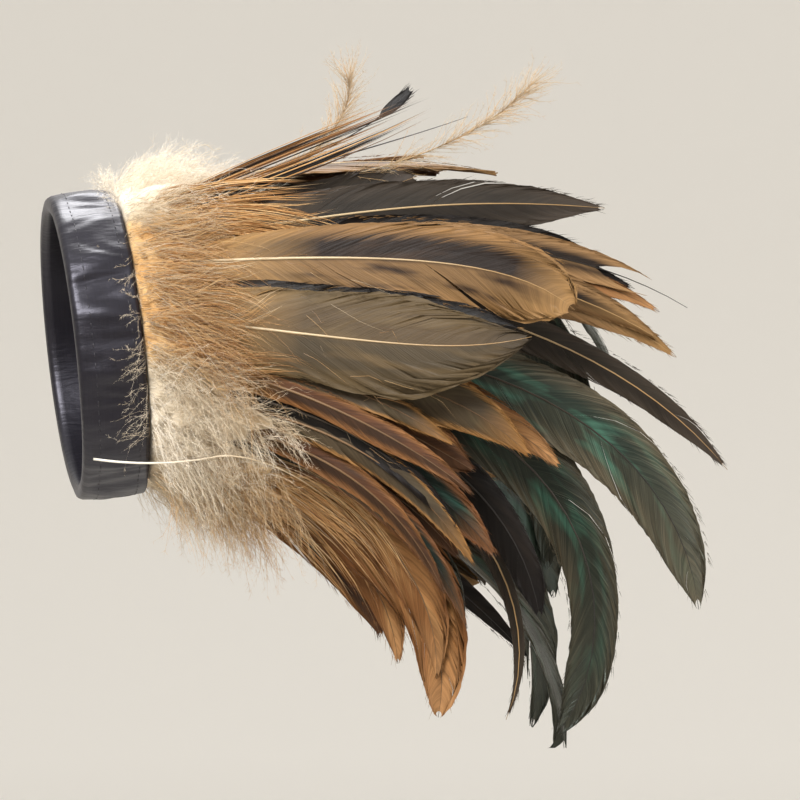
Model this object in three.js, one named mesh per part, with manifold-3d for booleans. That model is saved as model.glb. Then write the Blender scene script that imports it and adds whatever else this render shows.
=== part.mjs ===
// Feather shoulder cuff: a folded satin ribbon closed round the top of the arm, with three rows of
// feathers whose heading tapes are held in the fold. Millimetres and degrees.
// +X points out along the arm, +Y to the wearer's back and +Z up. The origin is the middle of the
// arm opening. Angles round the loop run from 0 at the front over 90 at the top to 180 at the back.
import * as THREE from "three";
import Module from "manifold-3d";

const wasm = await Module();
wasm.setup();

// The loop that the arm goes through
const OPENING_DEPTH = 104;
const OPENING_HEIGHT = 92;
const BAND_WIDTH = 22;
const BAND_LEAN = 6;

// The ribbon and the tapes in its fold
const RIBBON = 1.0;
const TAPE = 0.9;
const GAP = 0.3;
const ROW_COUNT = 3;
const SLOT = ROW_COUNT * TAPE + (ROW_COUNT + 1) * GAP;
const BAND_THICKNESS = 2 * RIBBON + SLOT;
const FOLD_ROUND = 1.6;
const PUCKERS = 26;
const PUCKER_HEIGHT = 1.3;
const STEPS_PER_PUCKER = 3;

// The stretch of the loop that carries feathers: the underarm is bare
const FRINGE_FROM = -68;
const FRINGE_TO = 248;
const TAPE_STEPS = 40;
const TAPE_INSIDE = 6;
const TAPE_PROUD = 1;
const ROOT_OVERLAP = 0.7;

// Feather sections
const QUILL_WIDTH = 2.6;
const QUILL_THICKNESS = 0.8;
const ROLLED_BY = 0.4;
const SPINE_STEPS = 40;

// Each row of the fringe: its place in the fold, its splay from the arm at the front and back, its
// lift at the top, and the arch and the thickness of its vanes over and under the shaft
const ROWS = {
  long: { layer: 0, splay: 8, lift: 7, arch: 0.06, over: 0.9, under: 0.8 },
  short: { layer: 1, splay: 20, lift: 12, arch: 0.07, over: 1, under: 0.8 },
  down: { layer: 2, splay: 34, lift: 18, arch: 0.06, over: 6, under: 0.6 },
};

// Outlines from the quill to the tip: share of the length, of the full width and of the thickness
const OUTLINES = {
  tail: [
    { at: 0.1, wide: 0.5, thick: 0.8 },
    { at: 0.3, wide: 0.74, thick: 1 },
    { at: 0.52, wide: 0.92, thick: 1 },
    { at: 0.7, wide: 1, thick: 0.9 },
    { at: 0.83, wide: 0.94, thick: 0.8 },
    { at: 0.94, wide: 0.62, thick: 0.7 },
    { at: 1, wide: 0.08, thick: 0.5 },
  ],
  saddle: [
    { at: 0.12, wide: 0.62, thick: 0.8 },
    { at: 0.3, wide: 0.9, thick: 1 },
    { at: 0.52, wide: 1, thick: 1 },
    { at: 0.72, wide: 0.9, thick: 0.9 },
    { at: 0.88, wide: 0.58, thick: 0.8 },
    { at: 1, wide: 0.07, thick: 0.5 },
  ],
  paddle: [
    { at: 0.12, wide: 0.5, thick: 0.8 },
    { at: 0.3, wide: 0.85, thick: 1 },
    { at: 0.5, wide: 1, thick: 1 },
    { at: 0.75, wide: 1, thick: 0.9 },
    { at: 0.9, wide: 0.84, thick: 0.8 },
    { at: 1, wide: 0.2, thick: 0.5 },
  ],
  sickle: [
    { at: 0.1, wide: 0.55, thick: 0.8 },
    { at: 0.28, wide: 0.9, thick: 1 },
    { at: 0.45, wide: 1, thick: 1 },
    { at: 0.62, wide: 0.92, thick: 0.9 },
    { at: 0.8, wide: 0.76, thick: 0.8 },
    { at: 0.93, wide: 0.62, thick: 0.7 },
    { at: 1, wide: 0.1, thick: 0.5 },
  ],
  stem: [
    { at: 0.2, wide: 0.7, thick: 0.7 },
    { at: 0.55, wide: 0.55, thick: 0.6 },
    { at: 0.84, wide: 0.6, thick: 0.6 },
    { at: 0.95, wide: 1, thick: 0.7 },
    { at: 1, wide: 0.4, thick: 0.5 },
  ],
  puff: [
    { at: 0.14, wide: 0.5, thick: 0.3 },
    { at: 0.42, wide: 0.95, thick: 0.9 },
    { at: 0.72, wide: 1, thick: 1 },
    { at: 1, wide: 0.4, thick: 0.4 },
  ],
};

// The feathers that stand out from the front, one to a row. ring is the place on the loop, rise the
// angle above level at the quill, droop the turn towards the ground from quill to tip, late how much
// of that turn is left to the far end, and roll the turn of the face towards the front.
const LONG_FRONT = [
  { ring: 50, length: 100, width: 19, rise: 3, droop: -17, late: 1, roll: 38, outline: "tail" },
  { ring: 43, length: 160, width: 20, rise: 8, droop: 12, late: 3, roll: 34, outline: "saddle" },
  { ring: 37, length: 152, width: 15, rise: 5, droop: 15, late: 3, roll: 28, outline: "tail" },
  { ring: 31, length: 188, width: 15, rise: 6, droop: 38, late: 3, roll: 24, outline: "saddle" },
  { ring: 22, length: 186, width: 17, rise: 7, droop: 44, late: 2, roll: 17, outline: "saddle" },
  { ring: 14, length: 214, width: 14, rise: 9, droop: 62, late: 1.5, roll: 10, outline: "saddle" },
  { ring: 3, length: 228, width: 23, rise: 1, droop: 85, late: 2, roll: 0, outline: "tail" },
  { ring: -8, length: 230, width: 24, rise: -1, droop: 128, late: 2, roll: -6, outline: "sickle" },
  { ring: -16, length: 168, width: 16, rise: 1, droop: 82, late: 1.5, roll: -13, outline: "sickle" },
  { ring: -26, length: 185, width: 7, rise: -6, droop: 108, late: 2, roll: -21, outline: "saddle" },
  { ring: -62, length: 150, width: 10, rise: -3, droop: 48, late: 1, roll: -50, outline: "saddle" },
];
const SHORT_FRONT = [
  { ring: 82, length: 100, width: 6, rise: 6, droop: -90, late: 3, roll: 0, outline: "stem" },
  { ring: 74, length: 110, width: 5, rise: 9, droop: -38, late: 2, roll: 60, outline: "stem" },
  { ring: 68, length: 122, width: 5, rise: 10, droop: -10, late: 1, roll: 0, outline: "stem" },
  { ring: 62, length: 148, width: 6, rise: 8, droop: -40, late: 3, roll: 20, outline: "stem" },
  { ring: 56, length: 112, width: 16, rise: 18, droop: -8, late: 1, roll: 35, outline: "saddle" },
  { ring: 32, length: 152, width: 30, rise: 3, droop: 46, late: 5, roll: 25, outline: "paddle" },
  { ring: 12, length: 134, width: 33, rise: -9, droop: -22, late: 3, roll: 9, outline: "saddle" },
  { ring: -2, length: 136, width: 20, rise: -6, droop: 38, late: 3, roll: -2, outline: "saddle" },
  { ring: -12, length: 116, width: 26, rise: 3, droop: 38, late: 1, roll: -9, outline: "saddle" },
  { ring: -24, length: 132, width: 18, rise: -2, droop: 54, late: 1.5, roll: -19, outline: "saddle" },
  { ring: -54, length: 150, width: 32, rise: -2, droop: 100, late: 1.5, roll: -43, outline: "saddle" },
  { ring: -64, length: 102, width: 18, rise: -1, droop: 68, late: 1, roll: -51, outline: "saddle" },
];

// The rest of each row runs over the top to the back in even steps; the pattern of lengths, widths
// and droops repeats along it.
const LONG_BACK = { from: 64, to: 240, count: 14, outline: "tail" };
const SHORT_BACK = { from: 92, to: 244, count: 13, outline: "saddle" };
const DOWN_ROUND = { from: -66, to: 246, count: 27, outline: "puff" };
const LONG_PATTERN = [
  { length: 168, width: 20, droop: 46, late: 2 },
  { length: 206, width: 23, droop: 84, late: 2 },
  { length: 150, width: 18, droop: 34, late: 2 },
  { length: 222, width: 20, droop: 104, late: 2 },
];
const SHORT_PATTERN = [
  { length: 136, width: 28, droop: 24, late: 2 },
  { length: 114, width: 21, droop: 8, late: 2 },
  { length: 148, width: 25, droop: 34, late: 2 },
];
const DOWN_PATTERN = [
  { length: 52, width: 26, droop: 26, late: 1.2 },
  { length: 42, width: 22, droop: 40, late: 1.2 },
  { length: 57, width: 24, droop: 18, late: 1.2 },
];

const SATIN_BLACK = 0x17161b;
const BRONZE = 0x5d4a33;
const GINGER = 0xb17d48;
const IVORY = 0xdccdb0;

const radians = THREE.MathUtils.degToRad;
const UP = new THREE.Vector3(0, 0, 1);
const LEAN = new THREE.Matrix4().makeRotationY(-radians(BAND_LEAN));

// The direction straight out of the loop at an angle, before it leans
function loopNormal(angle) {
  const a = radians(angle);
  return new THREE.Vector3(0, -Math.cos(a) / OPENING_DEPTH, Math.sin(a) / OPENING_HEIGHT).normalize();
}

// A point of the leaning loop: out from the arm's side of the ribbon, and along the arm
function onLoop(angle, out, along) {
  const a = radians(angle);
  const inner = new THREE.Vector3(
    along,
    (-OPENING_DEPTH / 2) * Math.cos(a),
    (OPENING_HEIGHT / 2) * Math.sin(a),
  );
  return inner.addScaledVector(loopNormal(angle), out).applyMatrix4(LEAN);
}

// A closed mesh through rings of points that all have as many corners
function loft(rings, closed) {
  const corners = rings[0].length;
  const positions = rings.flat().flatMap((point) => point.toArray());
  const faces = [];
  const spans = closed ? rings.length : rings.length - 1;
  for (let i = 0; i < spans; i++) {
    const here = i * corners;
    const next = ((i + 1) % rings.length) * corners;
    for (let j = 0; j < corners; j++) {
      const k = (j + 1) % corners;
      faces.push(here + j, here + k, next + k, here + j, next + k, next + j);
    }
  }
  if (!closed) {
    const last = (rings.length - 1) * corners;
    for (let j = 1; j < corners - 1; j++) {
      faces.push(0, j + 1, j, last, last + j, last + j + 1);
    }
  }
  const geometry = new THREE.BufferGeometry();
  geometry.setAttribute("position", new THREE.Float32BufferAttribute(positions, 3));
  geometry.setIndex(faces);
  return geometry;
}

function toSolid(geometry) {
  return new wasm.Manifold(
    new wasm.Mesh({
      numProp: 3,
      vertProperties: new Float32Array(geometry.getAttribute("position").array),
      triVerts: new Uint32Array(geometry.index.array),
    }),
  );
}

function toGeometry(solid) {
  const mesh = solid.getMesh();
  const geometry = new THREE.BufferGeometry();
  geometry.setAttribute("position", new THREE.BufferAttribute(mesh.vertProperties, 3));
  geometry.setIndex(new THREE.BufferAttribute(mesh.triVerts, 1));
  return geometry;
}

// The folded ribbon: two layers joined by a rounded fold on the body side, open on the outer side
function bandSection(pucker) {
  const edge = BAND_WIDTH / 2;
  const fold = -edge + FOLD_ROUND;
  const swell = BAND_THICKNESS + PUCKER_HEIGHT * pucker;
  return [
    { along: fold, out: 0 },
    { along: -edge, out: BAND_THICKNESS * 0.28 },
    { along: -edge, out: BAND_THICKNESS * 0.72 },
    { along: fold, out: BAND_THICKNESS },
    { along: -edge / 2, out: swell },
    { along: edge / 2, out: swell },
    { along: edge, out: BAND_THICKNESS + (PUCKER_HEIGHT * pucker) / 3 },
    { along: edge, out: BAND_THICKNESS - RIBBON },
    { along: fold, out: BAND_THICKNESS - RIBBON },
    { along: fold, out: RIBBON },
    { along: edge, out: RIBBON },
    { along: edge, out: 0 },
  ];
}

function satinBand() {
  const steps = PUCKERS * STEPS_PER_PUCKER;
  const rings = [];
  for (let i = 0; i < steps; i++) {
    const angle = (360 * i) / steps;
    const pucker = 0.5 - 0.5 * Math.cos(radians(angle * PUCKERS));
    rings.push(bandSection(pucker).map(({ along, out }) => onLoop(angle, out, along)));
  }
  return loft(rings, true);
}

// Where a row's tape lies in the fold, measured out from the arm's side of the ribbon
function tapeOut(row) {
  return RIBBON + GAP + row.layer * (TAPE + GAP);
}

function headingTape(row) {
  const inner = tapeOut(row);
  const from = -BAND_WIDTH / 2 + TAPE_INSIDE;
  const to = BAND_WIDTH / 2 + TAPE_PROUD;
  const rings = [];
  for (let i = 0; i <= TAPE_STEPS; i++) {
    const angle = THREE.MathUtils.lerp(FRINGE_FROM, FRINGE_TO, i / TAPE_STEPS);
    rings.push([
      onLoop(angle, inner, from),
      onLoop(angle, inner + TAPE, from),
      onLoop(angle, inner + TAPE, to),
      onLoop(angle, inner, to),
    ]);
  }
  return toSolid(loft(rings, false));
}

// A feather's shaft as a function of the share of its length: place, direction and face
function shaft(row, feather) {
  const rootOut = tapeOut(row) + TAPE / 2;
  const rootAlong = BAND_WIDTH / 2 + TAPE_PROUD - ROOT_OVERLAP;
  const root = onLoop(feather.ring, rootOut, rootAlong);
  const splayed = Math.tan(radians(row.splay)) * Math.cos(radians(feather.ring));
  const rise = radians(feather.rise);
  const start = new THREE.Vector3(Math.cos(rise), -splayed, Math.sin(rise)).normalize();
  const hinge = new THREE.Vector3().crossVectors(start, UP).normalize();
  const face = loopNormal(feather.ring).projectOnPlane(start).normalize();
  const turned = (vector, share) =>
    vector.clone().applyAxisAngle(hinge, -radians(feather.droop) * share ** feather.late);
  const places = [root];
  for (let i = 0; i < SPINE_STEPS; i++) {
    const step = turned(start, (i + 0.5) / SPINE_STEPS).multiplyScalar(feather.length / SPINE_STEPS);
    places.push(places[i].clone().add(step));
  }
  return (share) => {
    const at = Math.min(share * SPINE_STEPS, SPINE_STEPS - 1e-6);
    const i = Math.floor(at);
    const direction = turned(start, share);
    const roll = radians(feather.roll) * Math.min(1, share / ROLLED_BY);
    return {
      place: places[i].clone().lerp(places[i + 1], at - i),
      direction,
      face: turned(face, share).applyAxisAngle(direction, roll),
    };
  };
}

// A section's corners moved out so that every side lies the same distance from where it was
function grown(corners, by) {
  const sides = corners.map((corner, i) => {
    const run = corners[(i + 1) % corners.length].clone().sub(corner).normalize();
    return new THREE.Vector2(run.y, -run.x);
  });
  return corners.map((corner, i) => {
    const before = sides[(i + corners.length - 1) % corners.length];
    const reach = by / (1 + before.dot(sides[i]));
    return corner.clone().addScaledVector(before, reach).addScaledVector(sides[i], reach);
  });
}

// A vane's four corners across its shaft: two edges, arched down, and a ridge over and under the shaft
function vane(row, feather, { at, wide, thick }) {
  const width = at === 0 ? QUILL_WIDTH : feather.width * wide;
  const over = at === 0 ? QUILL_THICKNESS / 2 : row.over * thick;
  const under = at === 0 ? QUILL_THICKNESS / 2 : row.under * thick;
  const arch = at === 0 ? 0 : width * row.arch;
  return [
    new THREE.Vector2(-width / 2, -arch),
    new THREE.Vector2(0, -under),
    new THREE.Vector2(width / 2, -arch),
    new THREE.Vector2(0, over),
  ];
}

// One feather as a loft of vane sections along its shaft; grow widens it all round
function plume(row, feather, grow) {
  const along = shaft(row, feather);
  const rings = [{ at: 0 }, ...OUTLINES[feather.outline]].map((station) => {
    const { place, direction, face } = along(station.at);
    const side = new THREE.Vector3().crossVectors(face, direction).normalize();
    return grown(vane(row, feather, station), grow).map((corner) =>
      place.clone().addScaledVector(side, corner.x).addScaledVector(face, corner.y),
    );
  });
  return toSolid(loft(rings, false));
}

// Feathers set at even steps round the loop, with the sizes of a repeating pattern
function spreadRound(row, { from, to, count, outline }, pattern) {
  return Array.from({ length: count }, (_, i) => {
    const ring = THREE.MathUtils.lerp(from, to, i / (count - 1));
    const rise = row.lift * Math.sin(radians(ring));
    return { ring, rise, roll: 0, outline, ...pattern[i % pattern.length] };
  });
}

const FEATHERS = {
  long: [...LONG_FRONT, ...spreadRound(ROWS.long, LONG_BACK, LONG_PATTERN)],
  short: [...SHORT_FRONT, ...spreadRound(ROWS.short, SHORT_BACK, SHORT_PATTERN)],
  down: spreadRound(ROWS.down, DOWN_ROUND, DOWN_PATTERN),
};

// All feathers of a row fused together; grown, it is the room that the row needs among the others
function plumes(name, grow) {
  return FEATHERS[name]
    .map((feather) => plume(ROWS[name], feather, grow))
    .reduce((joined, solid) => joined.add(solid));
}

// A row fused to its tape and cut clear of the rows that it gives way to
function fringeRow(name, firmerRows) {
  let solid = plumes(name, 0).add(headingTape(ROWS[name]));
  for (const firmer of firmerRows) {
    solid = solid.subtract(plumes(firmer, GAP));
  }
  const pieces = solid.decompose();
  return toGeometry(pieces.reduce((a, b) => (a.volume() > b.volume() ? a : b)));
}

function piece(name, geometry, color, roughness) {
  const material = new THREE.MeshStandardMaterial({ color, roughness, metalness: 0 });
  const mesh = new THREE.Mesh(geometry, material);
  mesh.name = name;
  return mesh;
}

const cuff = new THREE.Group();
cuff.add(piece("satin_band", satinBand(), SATIN_BLACK, 0.35));
cuff.add(piece("long_row", fringeRow("long", ["short"]), BRONZE, 0.5));
cuff.add(piece("short_row", fringeRow("short", []), GINGER, 0.6));
cuff.add(piece("down_row", fringeRow("down", ["short", "long"]), IVORY, 0.9));

export default cuff;
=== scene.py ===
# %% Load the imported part
import math

import bpy
import numpy as np
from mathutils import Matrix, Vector


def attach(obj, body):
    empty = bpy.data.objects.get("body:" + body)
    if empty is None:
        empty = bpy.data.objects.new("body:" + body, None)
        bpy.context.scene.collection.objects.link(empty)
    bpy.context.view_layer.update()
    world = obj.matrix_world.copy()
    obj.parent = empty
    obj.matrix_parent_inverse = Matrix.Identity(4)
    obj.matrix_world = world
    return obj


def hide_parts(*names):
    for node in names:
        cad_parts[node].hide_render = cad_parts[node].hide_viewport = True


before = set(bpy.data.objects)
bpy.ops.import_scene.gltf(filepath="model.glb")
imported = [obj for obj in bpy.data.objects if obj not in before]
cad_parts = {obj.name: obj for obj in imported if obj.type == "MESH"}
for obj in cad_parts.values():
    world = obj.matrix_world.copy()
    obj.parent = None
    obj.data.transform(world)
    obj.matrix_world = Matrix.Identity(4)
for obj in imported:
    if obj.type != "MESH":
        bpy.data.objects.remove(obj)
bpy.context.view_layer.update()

MM = 0.001
print("nodes", sorted(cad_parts))

# %% [markdown]
# A shoulder cuff of feathers is looked at from the front, a little from the wearer's middle, at chest height.
# The camera stands where a photographer would, 1.6 m away, and a long lens frames the cuff alone.
# Because only the lens changes, the perspective on the feathers stays that of the real viewpoint.

# %% Camera
CAMERA_PLACE = Vector((-155, -1600, 13)) * MM
CAMERA_AIM = Vector((106, 0, -19)) * MM
FRAME_WIDTH = 276 * MM

bpy.ops.object.select_all(action="DESELECT")
bpy.ops.object.camera_add(location=CAMERA_PLACE)
camera = bpy.context.object
camera.name = "chest_height_camera"
sight = CAMERA_AIM - CAMERA_PLACE
camera.rotation_euler = sight.to_track_quat("-Z", "Y").to_euler()
camera.data.lens = camera.data.sensor_width * sight.length / FRAME_WIDTH
bpy.context.scene.camera = camera
print("lens", round(camera.data.lens), "mm")

# %% [markdown]
# A studio sweep is a floor that curves up into a wall, so no horizon line cuts behind the object.
# Here it goes all the way round, like a wide bowl, and every view has the same pale ground.
# It starts as a cylinder: the lid is deleted and the lower rim gets a large bevel.

# %% Stage
SWEEP_RADIUS = 5.0
SWEEP_HEIGHT = 3.2
SWEEP_CURVE = 1.4
FLOOR_BELOW = 1.3

bpy.ops.object.select_all(action="DESELECT")
bpy.ops.mesh.primitive_cylinder_add(
    vertices=96, radius=SWEEP_RADIUS, depth=SWEEP_HEIGHT, location=(0, 0, SWEEP_HEIGHT / 2 - FLOOR_BELOW)
)
sweep = bpy.context.object
sweep.name = "studio_sweep"
bpy.ops.object.transform_apply(location=True, rotation=True, scale=True)
bpy.ops.object.mode_set(mode="EDIT")
bpy.ops.mesh.select_all(action="DESELECT")
bpy.ops.object.mode_set(mode="OBJECT")
for face in sweep.data.polygons:
    face.select = face.normal.z > 0.9
bpy.ops.object.mode_set(mode="EDIT")
bpy.ops.mesh.delete(type="FACE")
bpy.ops.mesh.select_all(action="DESELECT")
bpy.ops.object.mode_set(mode="OBJECT")
for edge in sweep.data.edges:
    ends = [sweep.data.vertices[i].co.z for i in edge.vertices]
    edge.select = max(ends) < -FLOOR_BELOW + 0.01
bpy.ops.object.mode_set(mode="EDIT")
bpy.ops.mesh.select_mode(type="EDGE")
bpy.ops.mesh.bevel(offset=SWEEP_CURVE, segments=16, affect="EDGES")
bpy.ops.mesh.select_all(action="SELECT")
bpy.ops.mesh.normals_make_consistent(inside=True)
bpy.ops.object.mode_set(mode="OBJECT")
bpy.ops.object.shade_smooth()

# %% [markdown]
# Materials are small graphs of nodes. One function adds a node with its settings, its links and, on a
# ramp, its colour stops. Another turns the hex colours that a painter would write into the linear numbers
# that the renderer works with.

# %% Material helpers
MIX_A, MIX_B, MIX_RESULT = 6, 7, 2


def linear(hex_colour):
    parts = [int(hex_colour[i:i + 2], 16) / 255 for i in (1, 3, 5)]
    rgb = [p / 12.92 if p <= 0.04045 else ((p + 0.055) / 1.055) ** 2.4 for p in parts]
    return (*rgb, 1.0)


def new_material(name):
    material = bpy.data.materials.new(name)
    material.use_nodes = True
    material.node_tree.nodes.clear()
    return material


def add_node(material, kind, inputs=None, stops=(), **settings):
    made = material.node_tree.nodes.new(kind)
    for name, value in settings.items():
        setattr(made, name, value)
    for key, value in (inputs or {}).items():
        if isinstance(value, bpy.types.NodeSocket):
            material.node_tree.links.new(value, made.inputs[key])
        else:
            made.inputs[key].default_value = value
    if stops:
        elements = made.color_ramp.elements
        while len(elements) < len(stops):
            elements.new(1.0)
        for element, (place, colour) in zip(elements, stops):
            element.position = place
            element.color = linear(colour)
    return made


def finish_material(material, shader):
    add_node(material, "ShaderNodeOutputMaterial", {"Surface": shader.outputs[0]})
    return material


# %% [markdown]
# The sweep wears matt off-white paint, which gives the eye a calm ground without a gleam. The floor is
# painted a little darker than the wall, because it faces the lights and would glare in a view from above.

# %% Painted sweep
FLOOR_PAINT = "#d2cec7"
WALL_PAINT = "#f3f0eb"
GRADED_FROM = 0.1
GRADED_TO = 0.7
sweep_paint = new_material("matt_studio_paint")
point = add_node(sweep_paint, "ShaderNodeNewGeometry")
level = add_node(sweep_paint, "ShaderNodeSeparateXYZ", {"Vector": point.outputs["Position"]})
climb = add_node(sweep_paint, "ShaderNodeMapRange", {
    "Value": level.outputs["Z"],
    "From Min": GRADED_FROM - FLOOR_BELOW,
    "From Max": GRADED_TO - FLOOR_BELOW,
})
paint_stops = [(0.0, FLOOR_PAINT), (1.0, WALL_PAINT)]
graded = add_node(sweep_paint, "ShaderNodeValToRGB", {"Fac": climb.outputs["Result"]}, paint_stops)
paint = add_node(
    sweep_paint, "ShaderNodeBsdfPrincipled", {"Base Color": graded.outputs["Color"], "Roughness": 0.9}
)
finish_material(sweep_paint, paint)
sweep.data.materials.append(sweep_paint)

# %% [markdown]
# Soft light shows feathers best: a large key from the upper left, a weaker fill from the right, and a
# strip from above and behind that lifts the fine edges from the ground.

# %% Lights
LAMP_SPREAD = math.radians(100)
SKY_COLOUR = "#f4f2ee"
SKY_STRENGTH = 0.88
LIGHTS = [
    {"name": "key", "place": (-1.2, -1.7, 1.7), "size": 1.2, "watts": 33},
    {"name": "fill", "place": (1.8, -1.7, 0.5), "size": 1.6, "watts": 6},
    {"name": "rim", "place": (0.3, 1.5, 2.0), "size": 1.2, "watts": 16},
]
for light in LIGHTS:
    bpy.ops.object.light_add(type="AREA", location=light["place"])
    lamp = bpy.context.object
    lamp.name = "soft_" + light["name"]
    lamp.data.energy = light["watts"]
    lamp.data.size = light["size"]
    lamp.data.spread = LAMP_SPREAD
    lamp.rotation_euler = (CAMERA_AIM - lamp.location).to_track_quat("-Z", "Y").to_euler()

world = bpy.data.worlds.new("pale_room")
bpy.context.scene.world = world
world.use_nodes = True
sky = world.node_tree.nodes["Background"]
sky.inputs["Color"].default_value = linear(SKY_COLOUR)
sky.inputs["Strength"].default_value = SKY_STRENGTH
bpy.context.scene.view_settings.view_transform = "Standard"

# %% [markdown]
# Everything on the cuff is placed on one leaning oval loop, the top of the arm. Angles run from 0 at the
# front over 90 at the top to 180 at the back. These are the sizes that the part itself was built from.

# %% The loop
OPENING_DEPTH = 104 * MM
OPENING_HEIGHT = 92 * MM
BAND_WIDTH = 22 * MM
BAND_LEAN = math.radians(6)
RIBBON = 1.0 * MM
TAPE = 0.9 * MM
TAPE_GAP = 0.3 * MM
BAND_THICKNESS = 2 * RIBBON + 3 * TAPE + 4 * TAPE_GAP
ROOT_PROUD = 0.3 * MM
ROOT_ALONG = BAND_WIDTH / 2 + ROOT_PROUD


def loop_normal(angle):
    a = np.radians(angle)
    normal = np.stack([0 * a, -np.cos(a) / OPENING_DEPTH, np.sin(a) / OPENING_HEIGHT], -1)
    return normal / np.linalg.norm(normal, axis=-1, keepdims=True)


def on_loop(angle, out, along):
    a, out, along = np.broadcast_arrays(np.radians(angle), out, along)
    inner = np.stack([along, -OPENING_DEPTH / 2 * np.cos(a), OPENING_HEIGHT / 2 * np.sin(a)], -1)
    x, y, z = np.moveaxis(inner + out[..., None] * loop_normal(np.degrees(a)), -1, 0)
    cos, sin = math.cos(BAND_LEAN), math.sin(BAND_LEAN)
    return np.stack([x * cos - z * sin, y, x * sin + z * cos], -1)


# %% [markdown]
# The band is black satin ribbon, folded in half along its length over the feathers' tapes. It is cut from
# a flat grid: each vertex knows its place on the ribbon, and that place is carried round the fold and the
# loop. Gathers swell the outer layer between the seams, because the ribbon was eased round the quills.

# %% Ribbon shape
RIBBON_TURNS = 330
RIBBON_ROWS = 30
FOLD_SHARE = 0.12
FOLD_ROUND = 0.6
GATHER_WAVES = (9, 12, 14, 17, 19, 23, 26)
CREASE_WAVES = (37, 44, 53, 61, 70)
DRIFT_WAVES = (5, 8, 11)
SLANT_WAVES = (7, 10, 13)
GATHER_HEIGHT = 1.5 * MM
CREASE_HEIGHT = 0.45 * MM
GATHER_DRIFT = 3
CREASE_SLANT = 4
RIBBON_WALL = 0.5 * MM
RIBBON_FLAT = (49 * MM, 328 * MM)


def smooth_noise(angle, waves, seed):
    draw = np.random.default_rng(seed)
    total = 0 * angle
    for wave in waves:
        total = total + draw.normal() * np.sin(wave * np.radians(angle) + draw.uniform(0, 2 * np.pi))
    return total / len(waves) ** 0.5


def folded_place(angle, across):
    """across runs from 0 at the inner mouth over the fold to 1 at the outer mouth."""
    flat = (1 - FOLD_SHARE) / 2
    inner = np.clip(across / flat, 0, 1)
    outer = np.clip((across - flat - FOLD_SHARE) / flat, 0, 1)
    turn = np.clip((across - flat) / FOLD_SHARE, 0, 1) * np.pi
    half_gap = (BAND_THICKNESS - RIBBON) / 2
    reach = BAND_WIDTH / 2 - half_gap * FOLD_ROUND
    along = np.where(across < flat, BAND_WIDTH / 2 - inner * (BAND_WIDTH / 2 + reach), 0)
    along = np.where(across > flat + FOLD_SHARE, -reach + outer * (BAND_WIDTH / 2 + reach), along)
    in_fold = (across >= flat) & (across <= flat + FOLD_SHARE)
    along = np.where(in_fold, -reach - np.sin(turn) * half_gap * FOLD_ROUND, along)
    out = BAND_THICKNESS / 2 - half_gap * np.cos(turn)
    drift = GATHER_DRIFT * smooth_noise(angle, DRIFT_WAVES, 4) * (outer - 0.5)
    gather = 0.5 + 0.6 * smooth_noise(angle + drift, GATHER_WAVES, 3)
    slant = smooth_noise(angle, SLANT_WAVES, 8) * CREASE_SLANT * outer
    crease = smooth_noise(angle + slant, CREASE_WAVES, 5) * (0.4 + 0.6 * np.cos(4 * outer + angle / 9) ** 2)
    belly = np.sin(np.pi * np.clip(outer, 0.05, 0.93) / 0.98) ** 0.6
    swell = (GATHER_HEIGHT * np.clip(gather, 0, 1.2) + CREASE_HEIGHT * crease) * belly
    out = out + np.where(across > flat + FOLD_SHARE * 0.5, swell, 0)
    return on_loop(angle, out, along)


bpy.ops.object.select_all(action="DESELECT")
bpy.ops.mesh.primitive_grid_add(x_subdivisions=RIBBON_TURNS, y_subdivisions=RIBBON_ROWS, size=2)
ribbon = bpy.context.object
ribbon.name = "satin_ribbon"
flat_places = np.empty(len(ribbon.data.vertices) * 3)
ribbon.data.vertices.foreach_get("co", flat_places)
flat_places = flat_places.reshape(-1, 3)
folded = folded_place(180 * flat_places[:, 0], 0.5 + 0.5 * flat_places[:, 1])
ribbon.data.vertices.foreach_set("co", folded.ravel())
bpy.ops.object.mode_set(mode="EDIT")
bpy.ops.mesh.select_all(action="SELECT")
bpy.ops.mesh.remove_doubles(threshold=0.02 * MM)
bpy.ops.mesh.normals_make_consistent(inside=False)
bpy.ops.object.mode_set(mode="OBJECT")
wall = ribbon.modifiers.new("wall", "SOLIDIFY")
wall.thickness = RIBBON_WALL
wall.offset = 0
bpy.ops.object.modifier_apply(modifier=wall.name)
bpy.ops.object.shade_smooth()
print("ribbon", len(ribbon.data.polygons), "faces")

# %% [markdown]
# Satin floats its warp threads over the weft, so it is smooth and bright along the ribbon and shows a
# cool sheen on each gather. The threads are far finer than a pixel, so their streaks are drawn coarser.

# %% Satin finish
THREAD_STREAK = 0.35 * MM
STREAKS_ROUND = 30.0
CRINKLE = 1.8 * MM
CRINKLE_STRETCH = 4
SATIN_SCALES = {
    "streaks": (STREAKS_ROUND, RIBBON_FLAT[0] / THREAD_STREAK, 1.0),
    "crinkles": (RIBBON_FLAT[1] / CRINKLE, RIBBON_FLAT[0] / CRINKLE / CRINKLE_STRETCH, 1.0),
}
SATIN_DETAIL = {"streaks": 2.0, "crinkles": 3.0}
SATIN_STOPS = [(0.3, "#0b0a0e"), (0.75, "#17151c")]
satin = new_material("black_satin_ribbon")
weave_map = add_node(satin, "ShaderNodeUVMap", uv_map="UVMap")
satin_noise = {}
for pattern, scale in SATIN_SCALES.items():
    stretch = add_node(satin, "ShaderNodeMapping", {"Vector": weave_map.outputs["UV"], "Scale": scale})
    inputs = {"Vector": stretch.outputs["Vector"], "Scale": 1.0, "Detail": SATIN_DETAIL[pattern]}
    satin_noise[pattern] = add_node(satin, "ShaderNodeTexNoise", inputs).outputs["Fac"]
satin_tone = add_node(satin, "ShaderNodeValToRGB", {"Fac": satin_noise["streaks"]}, SATIN_STOPS)
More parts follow.
